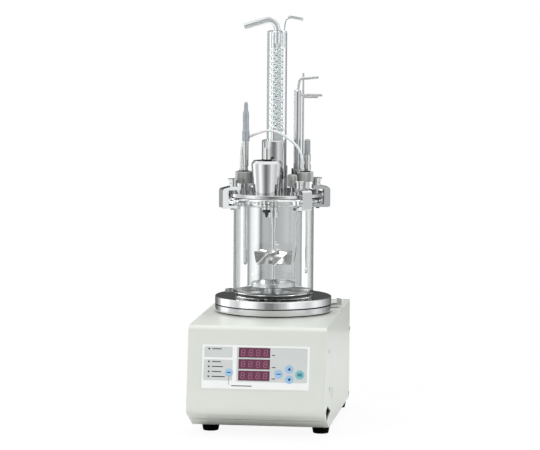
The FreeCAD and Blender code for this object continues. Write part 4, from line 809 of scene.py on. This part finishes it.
def digit_strokes(mesh, x, y, z, height):
    """The seven leaning strokes and the point of one digit."""
    wide, long = height * 0.12, height * 0.40
    across = height * 0.52
    for dx, dy, w, h in (
        (0, height / 2, across, wide),
        (0, 0, across, wide),
        (0, -height / 2, across, wide),
        (-across / 2 - wide / 3, height / 4, wide, long),
        (across / 2 + wide / 3, height / 4, wide, long),
        (-across / 2 - wide / 3, -height / 4, wide, long),
        (across / 2 + wide / 3, -height / 4, wide, long),
    ):
        tile(mesh, x + dx + dy * 0.10, y + dy, z, w, h, 0.06)
    tile(mesh, x + across / 2 + wide * 2.2, y - height / 2, z, wide, wide, 0.06)


digits = bmesh.new()
borders = bmesh.new()
for row in DISPLAY_ROWS:
    for place in range(4):
        digit_strokes(digits, -18.3 + 10.2 * place, row, WINDOW, 7.4)
    for dx, dy, w, h in (
        (0, 6.3, 42.7, 0.6),
        (0, -6.3, 42.7, 0.6),
        (-21, 0, 0.6, 12.6),
        (21, 0, 0.6, 12.6),
    ):
        tile(borders, DISPLAY_X + dx, row + dy, FIELD, w, h, 0.14)
millimetres(digits, PANEL)
finished("display_digits", digits, "case", segment_pale, smooth=0)
millimetres(borders, PANEL)
finished("display_borders", borders, "case", window_edge, smooth=0)

print_marks = bmesh.new()
for y, width in ((-31.0, 13), (-48.3, 12), (-54.9, 15), (-61.7, 13), (-68.3, 18)):
    tile(print_marks, -60.5 + width / 2, y, FIELD, width, 1.2, INK)
for x, y, width in ((23, -38.1, 4), (23.5, -54.4, 5), (23.5, -69.8, 5)):
    tile(print_marks, x, y, FIELD, width, 1.2, INK)
tile(print_marks, -19.5, -80.2, FILM, 27.7, 1.2, INK)
tile(print_marks, -36.9, -73.5, FIELD, 0.5, 11, INK)
millimetres(print_marks, PANEL)
finished("panel_print", print_marks, "case", film_dark, smooth=0)

for key, (x, y, r) in KEYS.items():
    symbol = bmesh.new()
    if key in ("up", "down"):
        made = bmesh.ops.create_circle(symbol, cap_ends=True, segments=3, radius=2.8)["verts"]
        if key == "down":
            bmesh.ops.rotate(
                symbol, cent=(0, 0, 0), matrix=Matrix.Rotation(math.pi, 3, "Z"), verts=made
            )
        raised = bmesh.ops.extrude_face_region(symbol, geom=symbol.faces[:])["geom"]
        bmesh.ops.translate(symbol, vec=(0, 0, SYMBOL), verts=only(raised, bmesh.types.BMVert))
        bmesh.ops.translate(symbol, vec=(x, y, KEY_TOP), verts=symbol.verts)
    else:
        for dy in (-1.2, 1.2) if key == "start" else (0,):
            tile(symbol, x, y + dy, KEY_TOP, r * 1.1, 1.3, SYMBOL)
    millimetres(symbol, PANEL)
    finished(f"{key}_key_symbol", symbol, f"{key}_key", key_print, smooth=0)

# ---------------------------------------------------------------- stage and light

# The studio's brightness by its bearing in degrees, as metal mirrors it (WALLS) and as glass
# shows it from near the front (BACKDROP). The stops were read off one view of the real thing
# and tuned to it, so this is a banded studio: neither plain and soft, nor the white that the
# camera itself sees. Bearings are as seen from the front: minus is the left side.
FRONT = Vector((math.sin(math.radians(7.2)), -math.cos(math.radians(7.2)), 0))
WALLS = (
    (-180, 0.085),
    (-150, 0.2),
    (-134, 0.55),
    (-122, 1.5),
    (-108, 1.7),
    (-92, 0.95),
    (-76, 0.78),
    (-62, 1.35),
    (-50, 1.55),
    (-38, 1.1),
    (-26, 0.62),
    (-12, 0.27),
    (-3, 0.24),
    (6, 0.38),
    (20, 0.62),
    (36, 1.2),
    (50, 1.05),
    (74, 0.8),
    (94, 1.1),
    (108, 0.9),
    (120, 0.6),
    (136, 0.35),
    (160, 0.13),
    (180, 0.085),
)
BACKDROP = (
    (-29, 0.32),
    (-22, 0.72),
    (-9, 0.84),
    (-7.8, 1.1),
    (-4.1, 1.15),
    (-3.5, 0.16),
    (-3.1, 0.44),
    (0.6, 0.46),
    (0.95, 0.10),
    (1.3, 1.0),
    (1.9, 0.9),
    (2.3, 0.62),
    (2.7, 0.15),
    (3.2, 1.3),
    (5.6, 1.25),
    (6.5, 0.55),
    (9.5, 0.36),
    (14, 0.5),
    (24, 0.6),
    (29, 0.3),
)
BACKDROP_SPAN = 60
BACKDROP_EDGE = 0.88

world = bpy.data.worlds.new("studio")
bpy.context.scene.world = world
world.use_nodes = True
air = world.node_tree
air.nodes.clear()
rays = node(air, "ShaderNodeLightPath")
where = node(air, "ShaderNodeTexCoord")


def towards(direction):
    """How far the looked-at part of the studio lies along a level direction."""
    return node(
        air,
        "ShaderNodeVectorMath",
        {0: where.outputs["Generated"], 1: direction},
        operation="DOT_PRODUCT",
    ).outputs["Value"]


def around(stops, facing, span):
    """Brightness by bearing over a span in degrees, about the front (1) or the back (-1)."""
    bearing = node(
        air,
        "ShaderNodeMath",
        {0: towards((FRONT.y * -facing, FRONT.x * facing, 0)), 1: towards(FRONT * facing)},
        operation="ARCTAN2",
    )
    share = node(
        air,
        "ShaderNodeMath",
        {0: bearing.outputs[0], 1: 180 / math.pi / span, 2: 0.5},
        operation="MULTIPLY_ADD",
    )
    ramp = node(air, "ShaderNodeValToRGB", {0: share.outputs[0]})
    ramp.color_ramp.interpolation = "EASE"
    band = ramp.color_ramp.elements
    while len(band) < len(stops):
        band.new(0.5)
    for stop, (degrees, bright) in zip(band, stops):
        stop.position = degrees / span + 0.5
        stop.color = (bright * 0.98, bright, bright * 1.01, 1)
    return ramp.outputs[0]


height = node(air, "ShaderNodeSeparateXYZ", {0: where.outputs["Generated"]})
overhead = node(
    air,
    "ShaderNodeMapRange",
    {0: height.outputs[2], 1: 0.35, 2: 0.75, 3: 0.0, 4: 1.0},
    interpolation_type="SMOOTHSTEP",
)
level = mixed(air, overhead.outputs[0], around(WALLS, 1, 360), (1.3, 1.3, 1.3, 1))
studio = node(air, "ShaderNodeBackground", {"Color": level, "Strength": 1.0})
behind = node(
    air, "ShaderNodeMath", {0: towards(FRONT * -1), 1: BACKDROP_EDGE}, operation="GREATER_THAN"
)
beyond = mixed(air, behind.outputs[0], level, around(BACKDROP, -1, BACKDROP_SPAN))
# looking well down through glass, the floor's white carries on past its edge
downward = node(
    air,
    "ShaderNodeMapRange",
    {0: height.outputs[2], 1: -0.14, 2: -0.25, 3: 0.0, 4: 1.0},
    interpolation_type="SMOOTHSTEP",
)
beyond = mixed(air, downward.outputs[0], beyond, (0.97, 0.97, 0.97, 1))
through = node(air, "ShaderNodeBackground", {"Color": beyond, "Strength": 1.0})
soft = node(air, "ShaderNodeBackground", {"Color": (0.9, 0.92, 0.95, 1), "Strength": 0.35})
white = node(air, "ShaderNodeBackground", {"Color": (1, 1, 1, 1), "Strength": 1.0})
by_metal = node(
    air,
    "ShaderNodeMixShader",
    {0: rays.outputs["Is Glossy Ray"], 1: soft.outputs[0], 2: studio.outputs[0]},
)
by_glass = node(
    air,
    "ShaderNodeMixShader",
    {0: rays.outputs["Is Transmission Ray"], 1: by_metal.outputs[0], 2: through.outputs[0]},
)
by_camera = node(
    air,
    "ShaderNodeMixShader",
    {0: rays.outputs["Is Camera Ray"], 1: by_glass.outputs[0], 2: white.outputs[0]},
)
node(air, "ShaderNodeOutputWorld", {0: by_camera.outputs[0]})

FLOOR_RADIUS = 0.95
FLOOR_DROP = 0.0002
ground = bmesh.new()
bmesh.ops.create_circle(ground, cap_ends=True, segments=96, radius=FLOOR_RADIUS)
bmesh.ops.translate(ground, vec=(0, 0, -FLOOR_DROP), verts=ground.verts)
ground_mesh = bpy.data.meshes.new("floor")
ground.to_mesh(ground_mesh)
ground.free()
floor = bpy.data.objects.new("floor", ground_mesh)
bpy.context.collection.objects.link(floor)
floor_white, floor_tree, floor_shader = surface(
    "floor_white", Roughness=0.9, Base_Color=(0.86, 0.86, 0.86, 1)
)
# the camera's rays and those through glass see the floor fade to white; metal sees it as lit
floor_rays = node(floor_tree, "ShaderNodeLightPath")
floor_glow = node(floor_tree, "ShaderNodeEmission", {"Color": (1, 1, 1, 1), "Strength": 1.0})
floor_place = node(floor_tree, "ShaderNodeTexCoord")
floor_far = node(
    floor_tree, "ShaderNodeVectorMath", {0: floor_place.outputs["Object"]}, operation="LENGTH"
)
floor_fade = node(
    floor_tree,
    "ShaderNodeMapRange",
    {0: floor_far.outputs["Value"], 1: 0.25, 2: 0.8, 3: 0.92, 4: 1.0},
    interpolation_type="SMOOTHSTEP",
)
floor_mix = node(
    floor_tree,
    "ShaderNodeMixShader",
    {0: floor_fade.outputs[0], 1: floor_shader.outputs[0], 2: floor_glow.outputs[0]},
)
seen = node(
    floor_tree,
    "ShaderNodeMath",
    {0: floor_rays.outputs["Is Camera Ray"], 1: floor_rays.outputs["Is Transmission Ray"]},
    operation="MAXIMUM",
)
show = node(
    floor_tree,
    "ShaderNodeMixShader",
    {0: seen.outputs[0], 1: floor_shader.outputs[0], 2: floor_mix.outputs[0]},
)
floor_tree.links.new(show.outputs[0], floor_tree.nodes["Material Output"].inputs[0])
ground_mesh.materials.append(floor_white)


def softbox(name, place, aim, width, height, power):
    """A soft lamp in a frame, aimed at a point, that metal doesn't mirror."""
    light = bpy.data.lights.new(name, "AREA")
    light.shape = "RECTANGLE"
    light.size, light.size_y = width, height
    light.energy = power
    lamp = bpy.data.objects.new(name, light)
    bpy.context.collection.objects.link(lamp)
    lamp.location = place
    heading = Vector(aim) - Vector(place)
    lamp.rotation_euler = heading.to_track_quat("-Z", "Y").to_euler()
    lamp.visible_glossy = False


softbox("key_light", (-1.3, -1.9, 1.7), (0, 0, 0.25), 1.1, 1.3, 33)
softbox("fill_light", (2.2, -0.8, 1.0), (0, 0, 0.3), 1.0, 1.4, 23)
softbox("top_light", (0.1, 0.2, 2.4), (0, 0, 0.2), 1.5, 1.5, 29)
softbox("back_light", (-1.5, 2.0, 1.2), (0, 0, 0.2), 1.2, 1.2, 26)

bpy.context.scene.view_settings.view_transform = "Standard"
